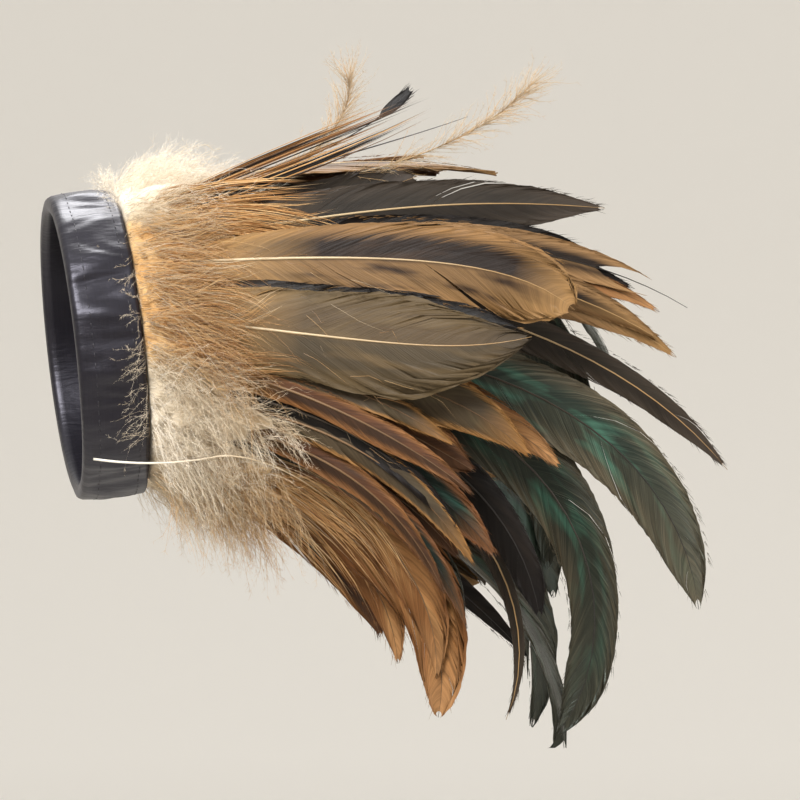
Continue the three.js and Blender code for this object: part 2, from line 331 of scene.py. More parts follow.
crinkled = add_node(
    satin, "ShaderNodeBump", {"Height": satin_noise["crinkles"], "Strength": 0.35, "Distance": 0.6 * MM}
)
streaked = add_node(satin, "ShaderNodeBump", {
    "Height": satin_noise["streaks"],
    "Strength": 0.15,
    "Distance": 0.1 * MM,
    "Normal": crinkled.outputs["Normal"],
})
satin_shader = add_node(satin, "ShaderNodeBsdfPrincipled", {
    "Base Color": satin_tone.outputs["Color"],
    "Roughness": 0.38,
    "Specular IOR Level": 0.6,
    "Specular Tint": linear("#e2dfee"),
    "Sheen Weight": 0.03,
    "Sheen Roughness": 0.35,
    "Sheen Tint": linear("#a9a3c4"),
    "Normal": streaked.outputs["Normal"],
})
finish_material(satin, satin_shader)
ribbon.data.materials.append(satin)
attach(ribbon, "root")
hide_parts("satin_band")

# %% [markdown]
# A feather is a shaft with two vanes, and a vane is hundreds of barbs that leave the shaft at a slant and
# lie side by side. The shafts repeat the part's own rows: the place on the loop, the rise at the quill,
# the droop towards the tip, and the roll that turns the face to the front. Kind names the colouring.
# The two tables named between hold thinner feathers that fill the gaps of a row.

# %% Rows of feathers
ROWS = {
    "long": {"layer": 0, "splay": 8, "lift": 7, "arch": 0.06},
    "short": {"layer": 1, "splay": 20, "lift": 12, "arch": 0.07},
    "down": {"layer": 2, "splay": 34, "lift": 18, "arch": 0.06},
    "loose": {"layer": 2, "splay": 25, "lift": 14, "arch": 0.06},
}
OUTLINES = {
    "tail": (
        (0, 0.1), (0.1, 0.5), (0.3, 0.74), (0.52, 0.92), (0.7, 1), (0.83, 0.94), (0.94, 0.62), (1, 0.04),
    ),
    "saddle": ((0, 0.1), (0.12, 0.62), (0.3, 0.9), (0.52, 1), (0.72, 0.9), (0.88, 0.58), (1, 0.04)),
    "blunt": (
        (0, 0.1), (0.12, 0.62), (0.3, 0.9), (0.52, 1), (0.72, 0.8), (0.88, 0.52), (0.96, 0.34), (1, 0.04),
    ),
    "paddle": ((0, 0.1), (0.12, 0.5), (0.3, 0.85), (0.5, 1), (0.75, 1), (0.9, 0.84), (0.97, 0.5), (1, 0.05)),
    "sickle": (
        (0, 0.1), (0.1, 0.55), (0.28, 0.9), (0.45, 1), (0.62, 0.92), (0.8, 0.76), (0.93, 0.62), (1, 0.06),
    ),
    "stem": ((0, 0.9), (0.2, 0.7), (0.55, 0.55), (0.84, 0.6), (0.95, 1), (1, 0.4)),
}
COLUMNS = ("ring", "length", "width", "rise", "droop", "late", "roll", "outline", "kind", "front")
LONG_FRONT = [
    (50, 100, 19, 3, -17, 1, 38, "tail", "slate", 0),
    (43, 160, 20, 8, 12, 3, 34, "saddle", "slate", 0),
    (37, 152, 15, 5, 15, 3, 28, "tail", "black", 0),
    (31, 188, 15, 6, 38, 3, 24, "saddle", "bronze_stem", 0),
    (22, 186, 17, 7, 44, 2, 17, "saddle", "bronze", 0),
    (14, 214, 14, 9, 62, 1.5, 10, "saddle", "slate", 0),
    (3, 228, 23, 1, 85, 2, 0, "tail", "teal", 0),
    (-8, 230, 24, -1, 128, 2, -6, "sickle", "green", 0),
    (-16, 168, 16, 1, 82, 1.5, -13, "sickle", "black", 0),
    (-26, 185, 7, -6, 108, 2, -21, "saddle", "slate", 0),
    (-62, 150, 10, -3, 48, 1, -50, "saddle", "black", 0),
]
SHORT_FRONT = [
    (82, 100, 6, 6, -90, 3, 0, "stem", "tan_wisp", 0),
    (74, 110, 5, 9, -38, 2, 60, "stem", "black_stem", 0),
    (68, 122, 5, 10, -10, 1, 0, "stem", "bare_stem", 0),
    (62, 148, 6, 8, -40, 3, 20, "stem", "tan_wisp", 0),
    (56, 112, 16, 18, -8, 1, 35, "saddle", "hackle", 0),
    (32, 152, 30, 2, 46, 5, 25, "paddle", "broad_bronze", 3),
    (12, 134, 33, -9, -22, 3, 9, "saddle", "olive", 4),
    (-2, 136, 20, -6, 38, 3, -2, "saddle", "laced", -2),
    (-12, 116, 26, 3, 38, 1, -9, "saddle", "russet", -3),
    (-24, 132, 18, -2, 54, 1.5, -19, "saddle", "forest", 0),
    (-54, 150, 32, -2, 100, 1.5, -43, "blunt", "ginger", 6),
    (-64, 102, 18, -1, 68, 1, -51, "saddle", "russet", 0),
]
LONG_BETWEEN = [
    (26, 174, 12, 6, 40, 2.2, 20, "saddle", "slate", 0),
    (18, 176, 12, 8, 40, 2.4, 14, "saddle", "bronze", 0),
    (28, 178, 12, 4, 34, 3, 22, "saddle", "ginger", 0),
    (34, 170, 10, 4, 30, 3, 26, "saddle", "black", 0),
]
SHORT_BETWEEN = [
    # This narrow black feather between the broad bronze and the olive is partly a real dark feather and
    # partly a dark sliver put where shade falls between them.
    (21, 130, 13, -3, 14, 3, 16, "saddle", "black", 1),
    (6, 104, 16, -8, 10, 2, 4, "saddle", "russet", -6),
    (1, 148, 17, -5, 44, 2.6, 0, "saddle", "ginger", -7),
    (-8, 112, 16, -4, 30, 1.6, -6, "saddle", "slate", -4),
    (-18, 108, 15, -3, 36, 1.5, -14, "saddle", "laced", -5),
    (-30, 118, 16, -4, 52, 1.5, -24, "saddle", "russet", -3),
    (-40, 132, 17, -4, 70, 1.5, -33, "saddle", "green", -8),
    (-47, 138, 20, -3, 90, 1.5, -37, "saddle", "ginger", 0),
    (-60, 118, 18, -2, 84, 1.3, -48, "saddle", "ginger", -2),
    (4, 112, 10, -12, 20, 1.5, 2, "saddle", "laced", 0),
    (-5, 122, 9, -10, 34, 1.6, -4, "saddle", "russet", 2),
    (-14, 118, 9, -8, 44, 1.6, -12, "saddle", "black", 1),
    (-20, 128, 10, -6, 52, 1.5, -17, "saddle", "laced", 3),
    (-27, 122, 9, -8, 58, 1.5, -22, "saddle", "russet", 4),
    (-34, 134, 10, -6, 66, 1.5, -28, "saddle", "forest", 3),
    (-45, 92, 20, -3, 50, 1.4, -36, "saddle", "gold_lock", 8),
    (-51, 104, 24, -2, 62, 1.4, -41, "saddle", "gold_lock", 8),
    (-58, 96, 20, -3, 72, 1.3, -46, "saddle", "gold_lock", 6),
]
LONG_BACK = {"from": 64, "to": 240, "count": 14, "outline": "tail"}
SHORT_BACK = {"from": 92, "to": 244, "count": 13, "outline": "saddle"}
PATTERN_COLUMNS = ("length", "width", "droop", "late", "kind")
LONG_PATTERN = [
    (168, 20, 46, 2, "slate"),
    (206, 23, 84, 2, "green"),
    (150, 18, 34, 2, "bronze"),
    (222, 20, 104, 2, "green"),
]
SHORT_PATTERN = [
    (136, 28, 24, 2, "bronze"),
    (114, 21, 8, 2, "ginger"),
    (148, 25, 34, 2, "olive"),
]


def front_feathers(table):
    return [dict(zip(COLUMNS, line)) for line in table]


def between_round(row, run, kinds, seed):
    """Feathers of chance size in the gaps of a run, a little shorter than their neighbours."""
    draw = np.random.default_rng(seed)
    feathers = []
    step = (run["to"] - run["from"]) / (run["count"] - 1)
    for i in range(run["count"] - 1):
        ring = run["from"] + step * (i + draw.uniform(0.3, 0.7))
        rise = ROWS[row]["lift"] * math.sin(math.radians(ring)) + draw.uniform(-3, 3)
        feathers.append({
            "ring": ring, "length": draw.uniform(96, 134), "width": draw.uniform(13, 23), "rise": rise,
            "droop": draw.uniform(6, 42), "late": 2, "roll": draw.uniform(-12, 12), "outline": run["outline"],
            "kind": kinds[i % len(kinds)],
        })
    return feathers


def spread_round(row, run, pattern):
    feathers = []
    for i, ring in enumerate(np.linspace(run["from"], run["to"], run["count"])):
        rise = ROWS[row]["lift"] * math.sin(math.radians(ring))
        feather = dict(zip(PATTERN_COLUMNS, pattern[i % len(pattern)]))
        feathers.append({"ring": ring, "rise": rise, "roll": 0, "outline": run["outline"], **feather})
    return feathers


BACK_KINDS = ("russet", "laced", "slate", "bronze", "ginger")
long_front = front_feathers(LONG_FRONT + LONG_BETWEEN)
long_back = spread_round("long", LONG_BACK, LONG_PATTERN)
short_front = front_feathers(SHORT_FRONT + SHORT_BETWEEN)
short_back = spread_round("short", SHORT_BACK, SHORT_PATTERN)
short_back += between_round("short", SHORT_BACK, BACK_KINDS, 17)
broad_feather = next(feather for feather in short_front if feather["kind"] == "broad_bronze")
broad_feather["lopsided"] = -0.1
print("feathers", len(long_front), len(long_back), len(short_front), len(short_back))

# %% [markdown]
# A shaft starts square to its tape and bends towards the ground as it goes out. It is walked in small
# steps, and what comes back can be asked for the place, direction and face at any share of the length.

# %% Shafts
SHAFT_STEPS = 80
SHAFT_SWAY = 0.012
SWAY_TURN = 5.5
ROLLED_BY = 0.4


def turned(vector, axis, angle):
    cos = np.cos(angle)[..., None]
    sin = np.sin(angle)[..., None]
    return vector * cos + np.cross(axis, vector) * sin + axis * (vector @ axis) * (1 - cos)


def unit(vectors):
    return vectors / np.linalg.norm(vectors, axis=-1, keepdims=True)


def walk_shaft(row, feather):
    layer_out = RIBBON + TAPE_GAP + ROWS[row]["layer"] * (TAPE + TAPE_GAP) + TAPE / 2
    ring, rise = math.radians(feather["ring"]), math.radians(feather["rise"])
    splay = math.radians(ROWS[row]["splay"] + feather.get("front", 0))
    sideways = -math.tan(splay) * math.cos(ring)
    start = unit(np.array([math.cos(rise), sideways, math.sin(rise)]))
    hinge = unit(np.cross(start, (0, 0, 1)))
    face = loop_normal(np.array(float(feather["ring"])))
    face = unit(face - start * (face @ start))
    droop = -math.radians(feather["droop"])
    length = feather["length"] * MM
    middles = (np.arange(SHAFT_STEPS) + 0.5) / SHAFT_STEPS
    steps = turned(start, hinge, droop * middles ** feather["late"]) * length / SHAFT_STEPS
    root = on_loop(feather["ring"], layer_out, ROOT_ALONG)
    places = np.concatenate([[root], root + np.cumsum(steps, 0)])
    knots = np.linspace(0, 1, SHAFT_STEPS + 1)
    sway = SHAFT_SWAY * length * np.sin(SWAY_TURN * knots + feather["ring"]) * knots
    places = places + sway[:, None] * np.cross(face, start)

    def at(share):
        share = np.clip(share, 0, 1)
        place = np.stack([np.interp(share, knots, places[:, i]) for i in range(3)], -1)
        bend = droop * share ** feather["late"]
        direction = turned(start, hinge, bend)
        flat_face = turned(face, hinge, bend)
        roll = math.radians(feather["roll"]) * np.clip(share / ROLLED_BY, 0, 1)
        side = np.cross(flat_face, direction)
        rolled = flat_face * np.cos(roll)[..., None] - side * np.sin(roll)[..., None]
        return place, direction, rolled

    return at


# %% [markdown]
# Thousands of small shapes are made at once from arrays, because no hand could place them one by one.
# A bundle collects them. Each vertex carries its place on the feather (across and along), its place on the
# barb in metres, and a chance tint, and the materials read those. Every small shape is closed.

# %% Bundles of small meshes
KEYS = ("points", "faces", "slots", "vane", "barb", "bake", "tint", "rim")


def paired(one, other):
    return np.stack(np.broadcast_arrays(one, other), -1)


def new_bundle():
    return {"count": 0, **{key: [] for key in KEYS}}


def add_to_bundle(bundle, points, faces, slot, vane, barb, bake, tint, rim=None):
    count = points.size // 3
    bundle["points"].append(points.reshape(-1, 3))
    bundle["faces"].append(faces.reshape(-1, 3) + bundle["count"])
    bundle["slots"].append(np.full(faces.size // 3, slot))
    for key, values in (("vane", vane), ("barb", barb), ("bake", bake)):
        bundle[key].append(np.broadcast_to(values, points.shape[:-1] + (2,)).reshape(-1, 2))
    bundle["tint"].append(np.broadcast_to(tint, points.shape[:-1]).ravel())
    bundle["rim"].append(np.zeros(count, bool) if rim is None else rim.ravel())
    bundle["count"] += count


def piece_from_bundle(name, bundle, materials):
    points = np.concatenate(bundle["points"])
    faces = np.concatenate(bundle["faces"])
    mesh = bpy.data.meshes.new(name)
    mesh.vertices.add(len(points))
    mesh.vertices.foreach_set("co", points.astype(np.float32).ravel())
    mesh.loops.add(faces.size)
    mesh.loops.foreach_set("vertex_index", faces.astype(np.int32).ravel())
    mesh.polygons.add(len(faces))
    mesh.polygons.foreach_set("loop_start", np.arange(0, faces.size, 3, dtype=np.int32))
    mesh.polygons.foreach_set("material_index", np.concatenate(bundle["slots"]).astype(np.int32))
    mesh.update(calc_edges=True)
    rim = np.concatenate(bundle["rim"])
    ends = np.empty(len(mesh.edges) * 2, np.int32)
    mesh.edges.foreach_get("vertices", ends)
    sharp = mesh.attributes.new("sharp_edge", "BOOLEAN", "EDGE")
    sharp.data.foreach_set("value", rim[ends].reshape(-1, 2).all(1))
    for layer, key in (("vane", "vane"), ("barb", "barb"), ("OFBake", "bake")):
        corners = np.concatenate(bundle[key])[faces.ravel()]
        mesh.uv_layers.new(name=layer).uv.foreach_set("vector", corners.astype(np.float32).ravel())
    tint = mesh.attributes.new("tint", "FLOAT", "POINT")
    tint.data.foreach_set("value", np.concatenate(bundle["tint"]).astype(np.float32))
    for material in materials:
        mesh.materials.append(material)
    piece = bpy.data.objects.new(name, mesh)
    bpy.context.collection.objects.link(piece)
    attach(piece, "root")
    print(name, len(faces), "triangles")
    return piece


# %% [markdown]
# Two solids are swept along lines: a strand with three sides that ends in a point, for every loose barb,
# and a tube with six sides for the shafts. Strands are built by the thousand in one go.

# %% Strands and tubes
SECTION = 3
CORNER_TURNS = np.radians((90, 210, 330))
UV_STEP = 0.004
WHOLE_MAP = (np.zeros(2), np.ones(2))


def wall_faces(spans, sides):
    """Triangles of the walls between rings that have the same number of sides."""
    here = np.arange(sides)
    after = (here + 1) % sides
    start = np.arange(spans)[:, None] * sides
    walls = np.stack([start + here, start + after, start + after + sides], -1)
    others = np.stack([start + here, start + after + sides, start + here + sides], -1)
    return np.concatenate([walls.reshape(-1, 3), others.reshape(-1, 3)])


def strand_faces(strands, stations):
    """Triangles of closed three-sided strands whose last station is a single point."""
    here = np.arange(SECTION)
    tip = (stations - 1) * SECTION
    last = np.stack([tip - SECTION + here, tip - SECTION + (here + 1) % SECTION, np.full(SECTION, tip)], -1)
    one = np.concatenate([wall_faces(stations - 2, SECTION), last, [[0, 2, 1]]])
    return one[None] + (np.arange(strands) * (tip + 1))[:, None, None]


def add_curves(bundle, curves, widths, slot, vane, bake, tint):
    """Strands along curves of shape (strands, stations, 3); vane and bake give each station's place."""
    count, stations = curves.shape[:2]
    run = unit(np.gradient(curves, axis=1))
    one = unit(np.cross(run, np.array([0.31, 0.23, 0.92])))
    two = np.cross(run, one)
    turn = CORNER_TURNS[:, None]
    ring = np.cos(turn) * one[:, :, None] + np.sin(turn) * two[:, :, None]
    around = curves[:, :, None] + ring * (widths / 2)[..., None, None]
    shift = UV_STEP * np.stack([np.cos(CORNER_TURNS), np.sin(CORNER_TURNS)], -1)
    tip = (stations - 1) * SECTION + 1
    points = around.reshape(count, -1, 3)[:, :tip].copy()
    points[:, -1] = curves[:, -1]
    vane_all = (vane[:, :, None] + 0 * shift).reshape(count, -1, 2)[:, :tip]
    bake_all = (bake[:, :, None] + shift).reshape(count, -1, 2)[:, :tip]
    faces = strand_faces(count, stations)
    add_to_bundle(bundle, points, faces, slot, vane_all, 0 * vane_all, bake_all, tint[:, None])


def add_sleeve(bundle, points, slot, vane, barb, bake, tint):
    """A closed skin over rings of points of shape (rings, sides, 3), with flat ends."""
    rings, sides = points.shape[:2]
    fan = np.arange(1, sides - 1)
    first = np.stack([0 * fan, fan + 1, fan], -1)
    last = np.stack([0 * fan, fan, fan + 1], -1) + (rings - 1) * sides
    faces = np.concatenate([wall_faces(rings - 1, sides), first, last])
    add_to_bundle(bundle, points, faces, slot, vane, barb, bake, tint)


def add_tube(bundle, line, radii, slot, along, low, size, sides=6):
    run = unit(np.gradient(line, axis=0))
    one = unit(np.cross(run, np.array([0.31, 0.92, 0.23])))
    two = np.cross(run, one)
    turn = np.arange(sides) * 2 * np.pi / sides
    ring = np.cos(turn)[None, :, None] * one[:, None] + np.sin(turn)[None, :, None] * two[:, None]
    points = line[:, None] + ring * radii[:, None, None]
    vane = paired((turn / (2 * np.pi))[None], along[:, None])
    bend = np.stack([np.cos(turn), np.sin(turn)], -1) * np.array([1.0, 0.15])
    bake = low + size * (vane * np.array([0, 0.94]) + np.array([0.04, 0.03]) + 0.03 * bend)
    add_sleeve(bundle, points, slot, vane, vane, bake, 0.5)


# %% [markdown]
# Vanes. The barbs of a real feather hook into each other, so a vane reads as one silky sheet that comes
# apart here and there. Each clump of barbs is such a thin closed sheet: its lines run along the barbs,
# leave the shaft at a slant, and bend until they lie along the feather's edge. Clumps lift and shift a
# little against each other, which opens small splits, and loose tips soften the outline.

# %% Outlines and weaves
BARB_STATIONS = np.array([0.0, 0.2, 0.45, 0.75, 1.0])
WEAVES = {
    "firm": {"spacing": 1.6, "lean": 2.5, "split": 0.06, "uneven": 0.02, "raise": 0.4, "slide": 0.12},
    "smooth": {"spacing": 1.6, "lean": 2.8, "split": 0.05, "uneven": 0.03, "raise": 0.35, "slide": 0.15},
    "silky": {"spacing": 1.6, "lean": 3.6, "split": 0.08, "uneven": 0.03, "raise": 0.4, "slide": 0.2},
}
SMOOTH = ("bronze", "broad_bronze", "olive", "laced", "slate")
SILKY = ("ginger", "russet", "forest")
BARB_CURVE = 1.7
CLUMP_OVERLAP = 0.02
VANE_HALF_THICKNESS = 0.1 * MM
RIPPLE_LENGTH = 9 * MM
RIPPLE_HEIGHT = 0.13 * MM
OUTLINE_NOISE = 0.045
ROUNDING_WINDOW = 23
TIP_AS_DRAWN = 0.97
FRINGE_SPACING = 1.4 * MM
FRINGE_LENGTHS = (1.5, 4.5)
RACHIS_STATIONS = 26
QUILL_RADIUS = 0.8 * MM
TIP_RADIUS = 0.13 * MM
ROOT_SHARE = 0.03
ROOT_RADIUS = 0.42 * MM


def half_widths(feather):
    """The outline, with the corners of its table rounded off."""
    at, wide = np.array(OUTLINES[feather["outline"]]).T
    fine = np.linspace(-0.1, 1.1, 241)
    window = np.hanning(ROUNDING_WINDOW)
    smooth = np.convolve(np.interp(fine, at, wide), window / window.sum(), "same")
    smooth = np.where(fine > TIP_AS_DRAWN, np.interp(fine, at, wide), smooth)
    return lambda share: np.interp(share, fine, smooth) * feather["width"] * MM / 2


def outline_noise(share, draw):
    waves = draw.uniform(4, 16, 3)
    return sum(OUTLINE_NOISE * np.sin(wave * share + draw.uniform(0, 6)) for wave in waves)


def on_map(cell, vane):
    low, size = cell
    return low + size * (0.02 + 0.96 * vane)


def on_vane_map(cell, vane):
    """The vanes' part of a feather's cell; its shaft has the rest."""
    low, size = cell
    return low + size * (np.array([0.1, 0.02]) + np.array([0.88, 0.96]) * vane)


def strand_cell(cell):
    """The part of a feather's cell that its shaft leaves free."""
    low, size = cell
    return low + size * np.array([0.1, 0]), size * np.array([0.9, 1])


def bake_cell(index, count):
    columns = math.ceil(math.sqrt(count * 3))
    rows = math.ceil(count / columns)
    low = np.array([(index % columns) / columns, (index // columns) / rows])
    return low, np.array([1 / columns, 1 / rows])


def two_triangles(a, b, c, d):
    corners = np.stack(np.broadcast_arrays(a, b, c, d), -1).reshape(-1, 4)
    return np.concatenate([corners[:, (0, 1, 2)], corners[:, (0, 2, 3)]])


def sheet_faces(first, last, stations):
    """Triangles of closed sheets, from flags of the first and last row of each clump."""
    rows = len(first)
    top = np.arange(rows * stations).reshape(rows, stations)
    low = top + rows * stations
    r = np.flatnonzero(~last)
    s = np.arange(stations - 1)[None]
    f = np.flatnonzero(first)[:, None]
    e = np.flatnonzero(last)[:, None]
    r2 = r[:, None]
    return np.concatenate([
        two_triangles(top[r2, s], top[r2 + 1, s], top[r2 + 1, s + 1], top[r2, s + 1]),
        two_triangles(low[r2, s], low[r2, s + 1], low[r2 + 1, s + 1], low[r2 + 1, s]),
        two_triangles(top[r + 1, 0], top[r, 0], low[r, 0], low[r + 1, 0]),
        two_triangles(top[r, -1], top[r + 1, -1], low[r + 1, -1], low[r, -1]),
        two_triangles(top[f, s], top[f, s + 1], low[f, s + 1], low[f, s]),
        two_triangles(top[e, s + 1], top[e, s], low[e, s], low[e, s + 1]),
    ])


# %% [markdown]
# A feather's two vanes are built one after the other. Chance decides where a clump ends, how far it lifts and
# how ragged its edge is, and the same seed always gives the same feather.

# %% Vane builder
def add_vanes(bundle, row, feather, slot, cell, weave, vane_from=0.05, vane_to=0.985):
    draw = np.random.default_rng(int(1000 + feather["ring"] * 7 + feather["length"]))
    way = WEAVES[weave]
    at = walk_shaft(row, feather)
    half = half_widths(feather)
    length = feather["length"] * MM
    arch = ROWS[row]["arch"] * 2
    twist = draw.uniform(-0.1, 0.1)
    lopsided = feather.get("lopsided", draw.uniform(-0.1, 0.1))
    t = BARB_STATIONS[None]
    spread = 1 - (1 - t) ** BARB_CURVE
    for hand in (-1, 1):
        count = int(length * (vane_to - vane_from) / (way["spacing"] * MM))
        all_roots = np.linspace(vane_from, vane_to, count)
        splits = draw.uniform(size=count - 2) < way["split"]
        starts = np.flatnonzero(np.concatenate([[True], splits, [False]]))
        ends = np.append(starts[1:], count - 1)
        rows = np.concatenate([np.arange(a, b + 1) for a, b in zip(starts, ends)])
        clump = np.concatenate([np.full(b + 1 - a, i) for i, (a, b) in enumerate(zip(starts, ends))])
        first = np.append(True, clump[1:] != clump[:-1])
        last = np.append(clump[1:] != clump[:-1], True)
        clumps = len(starts)
        root = all_roots[rows]
        middle = (all_roots[starts] + all_roots[ends])[clump] / 2
        reach = np.minimum(way["lean"] * half(root) / length, (1 - root) * 0.96)
        gather = (middle - root) * (draw.uniform(0.0, 0.55, clumps) ** 6 - CLUMP_OVERLAP)[clump]
        slide = draw.normal(0, way["slide"] * MM / length, clumps)[clump]
        share = root[:, None] + reach[:, None] * t + (gather + slide)[:, None] * t ** 2
        share = np.clip(share, 0.0, 1.0)
        uneven = draw.normal(0, way["uneven"], clumps)[clump] + draw.normal(0, 0.012, len(rows))
        edge = half(share) * (1 + hand * lopsided + uneven)[:, None] * (1 + outline_noise(share, draw))
        x = hand * edge * spread
        place, direction, face = at(share)
        side = np.cross(face, direction)
        ripple = np.sin(2 * np.pi * root * length / RIPPLE_LENGTH + draw.uniform(0, 6)) * RIPPLE_HEIGHT
        tilt = (root - middle) * length * draw.normal(0, 0.05, clumps)[clump]
        lift = draw.normal(0, way["raise"] * MM, clumps)[clump]
        raised = (lift + tilt)[:, None] * t ** 2 + ripple[:, None] * t
        raised = raised - arch * edge * spread ** 2 + twist * x * np.sin(3 * share)
        middle_points = place + side * x[..., None] + face * raised[..., None]
        thickness = face * VANE_HALF_THICKNESS
        points = np.stack([middle_points + thickness, middle_points - thickness])
        faces = sheet_faces(first, last, t.size)
        if hand < 0:
            faces = faces[:, ::-1]
        across = np.broadcast_to(0.5 + 0.5 * hand * spread, share.shape)
        flat = np.stack([across, share], -1)
        under = np.stack([0.5 + (across - 0.5) * 0.985, share - 0.0015], -1)
        vane = np.stack([flat, flat])
        bake = on_vane_map(cell, np.stack([flat, under]))
        along = (root * length + feather["ring"] * 0.01)[:, None]
        barb = paired(along, x)
        tint = np.clip(0.5 + draw.normal(0, 0.13, clumps)[clump] + draw.normal(0, 0.1, len(rows)), 0, 1)
        rim = np.broadcast_to((first | last)[:, None] | (t == 0) | (t == 1), share.shape)
        add_to_bundle(
            bundle, points, faces, slot, vane, np.stack([barb, barb]), bake, tint[None, :, None],
            np.stack([rim, rim]),
        )
        add_fringe(bundle, at, half, length, hand, slot, cell, draw, vane_from, vane_to)


def add_fringe(bundle, at, half, length, hand, slot, cell, draw, vane_from, vane_to):
    """Loose tips along the edge of a vane, each a single spike."""
    count = int(length * (vane_to - vane_from) / FRINGE_SPACING)
    low, size = cell
    share = np.sort(draw.uniform(vane_from + 0.08, vane_to, count))
    place, direction, face = at(share)
    side = np.cross(face, direction) * hand
    start = place + side * (half(share) * draw.uniform(0.86, 0.97, count))[:, None]
    way = direction + side * draw.uniform(-0.05, 0.3, (count, 1)) + face * draw.normal(0, 0.1, (count, 1))
    lengths = draw.uniform(*FRINGE_LENGTHS, (count, 1)) * MM
    curves = np.stack([start, start + unit(way) * lengths], 1)
    widths = np.broadcast_to(np.array([0.2, 0.05]) * MM, (count, 2))
    vane = paired(0.5 + hand * 0.48, share[:, None] + np.array([[0, 0.008]]))
    bake = np.clip(on_vane_map(cell, vane), low + 0.01, low + size - 0.01)
    add_curves(bundle, curves, widths, slot, vane, bake, np.clip(draw.normal(0.5, 0.15, count), 0, 1))


def add_rachis(bundle, row, feather, slot, cell, thick=1.0):
    share = np.linspace(0, 1, RACHIS_STATIONS)
    place, _, face = walk_shaft(row, feather)(share)
    radii = (QUILL_RADIUS * (1 - share) ** 0.9 + TIP_RADIUS) * thick
    radii = np.where(share < ROOT_SHARE, np.minimum(radii, ROOT_RADIUS), radii)
    low, size = cell
    line = place + face * (radii * 0.2)[:, None]
    add_tube(bundle, line, radii, slot, share, low, size * np.array([0.9, 1]))


# %% [markdown]
# Down is made of the same barbs without hooks: fine, soft and wavy, each going its own way and feathered
# again with hair-fine barbules, which is what makes it look like mist. A strand has a start, a direction
# and a length, sags a little and waves a little. Its tone runs from white over cream, grey and tan to
# brown and black, and the tone is also its place on the bake map, so one picture colours them all.

# %% Strand and plume builders
STRAND_STATIONS = 5
STRAND_THICKNESS = 0.13 * MM
BARBULE_WIDTHS = np.array([0.085, 0.035]) * MM


def strand_curves(starts, directions, lengths, draw, sag, wave):
    count = len(starts)
    s = np.linspace(0, 1, STRAND_STATIONS)[None, :, None]
    directions = unit(directions)
    sideways = unit(np.cross(directions, draw.normal(size=(count, 3))))
    upwards = np.cross(directions, sideways)
    long = lengths[:, None, None]
    phase = draw.uniform(0, 2 * np.pi, (count, 1, 1))
    curl = draw.uniform(2.0, 5.0, (count, 1, 1))
    swing = wave * long * s * draw.normal(1, 0.4, (count, 1, 1))
    curves = starts[:, None] + directions[:, None] * long * s
    curves = curves + sideways[:, None] * swing * np.sin(phase + curl * s)
    curves = curves + upwards[:, None] * swing * 0.6 * np.cos(phase + curl * s)
    return curves - np.array([0, 0, 1.0]) * sag * long * s ** 2


def add_strands(
    bundle, starts, directions, lengths, tones, slot, draw, thick=STRAND_THICKNESS, sag=0.15, wave=0.1,
    cell=WHOLE_MAP,
):
    curves = strand_curves(starts, directions, lengths, draw, sag, wave)
    s = np.linspace(0, 1, STRAND_STATIONS)
    widths = thick * (1.15 - 0.75 * s)[None] * np.ones((len(starts), 1))
    vane = paired(tones[:, None], s[None])
    add_curves(bundle, curves, widths, slot, vane, on_map(cell, vane), draw.uniform(0, 1, len(starts)))
    return curves


def add_barbules(bundle, curves, tones, slot, draw, each, reach, cell=WHOLE_MAP):
    """Hair-fine straight spikes that stand off every strand, towards its end."""
    count = len(curves)
    along = draw.uniform(0.12, 0.98, (count, each)) * (STRAND_STATIONS - 1)
    before = along.astype(int)
    part = (along - before)[..., None]
    which = np.arange(count)[:, None]
    start = curves[which, before] * (1 - part) + curves[which, before + 1] * part
    run = unit(curves[which, before + 1] - curves[which, before])
    away = unit(np.cross(run, draw.normal(size=(count, each, 3))))
    way = unit(run * 0.75 + away * draw.uniform(0.4, 1.0, (count, each, 1)))
    lengths = reach * draw.uniform(0.5, 1.2, (count, each, 1))
    ends = np.stack([start, start + way * lengths], 2).reshape(-1, 2, 3)
    widths = np.broadcast_to(BARBULE_WIDTHS, (len(ends), 2))
    shade = np.clip(tones[:, None] + draw.normal(0, 0.03, (count, each)), 0, 1).reshape(-1, 1)
    vane = paired(shade, np.array([[0.6, 0.9]]))
    add_curves(bundle, ends, widths, slot, vane, on_map(cell, vane), draw.uniform(0, 1, len(ends)))
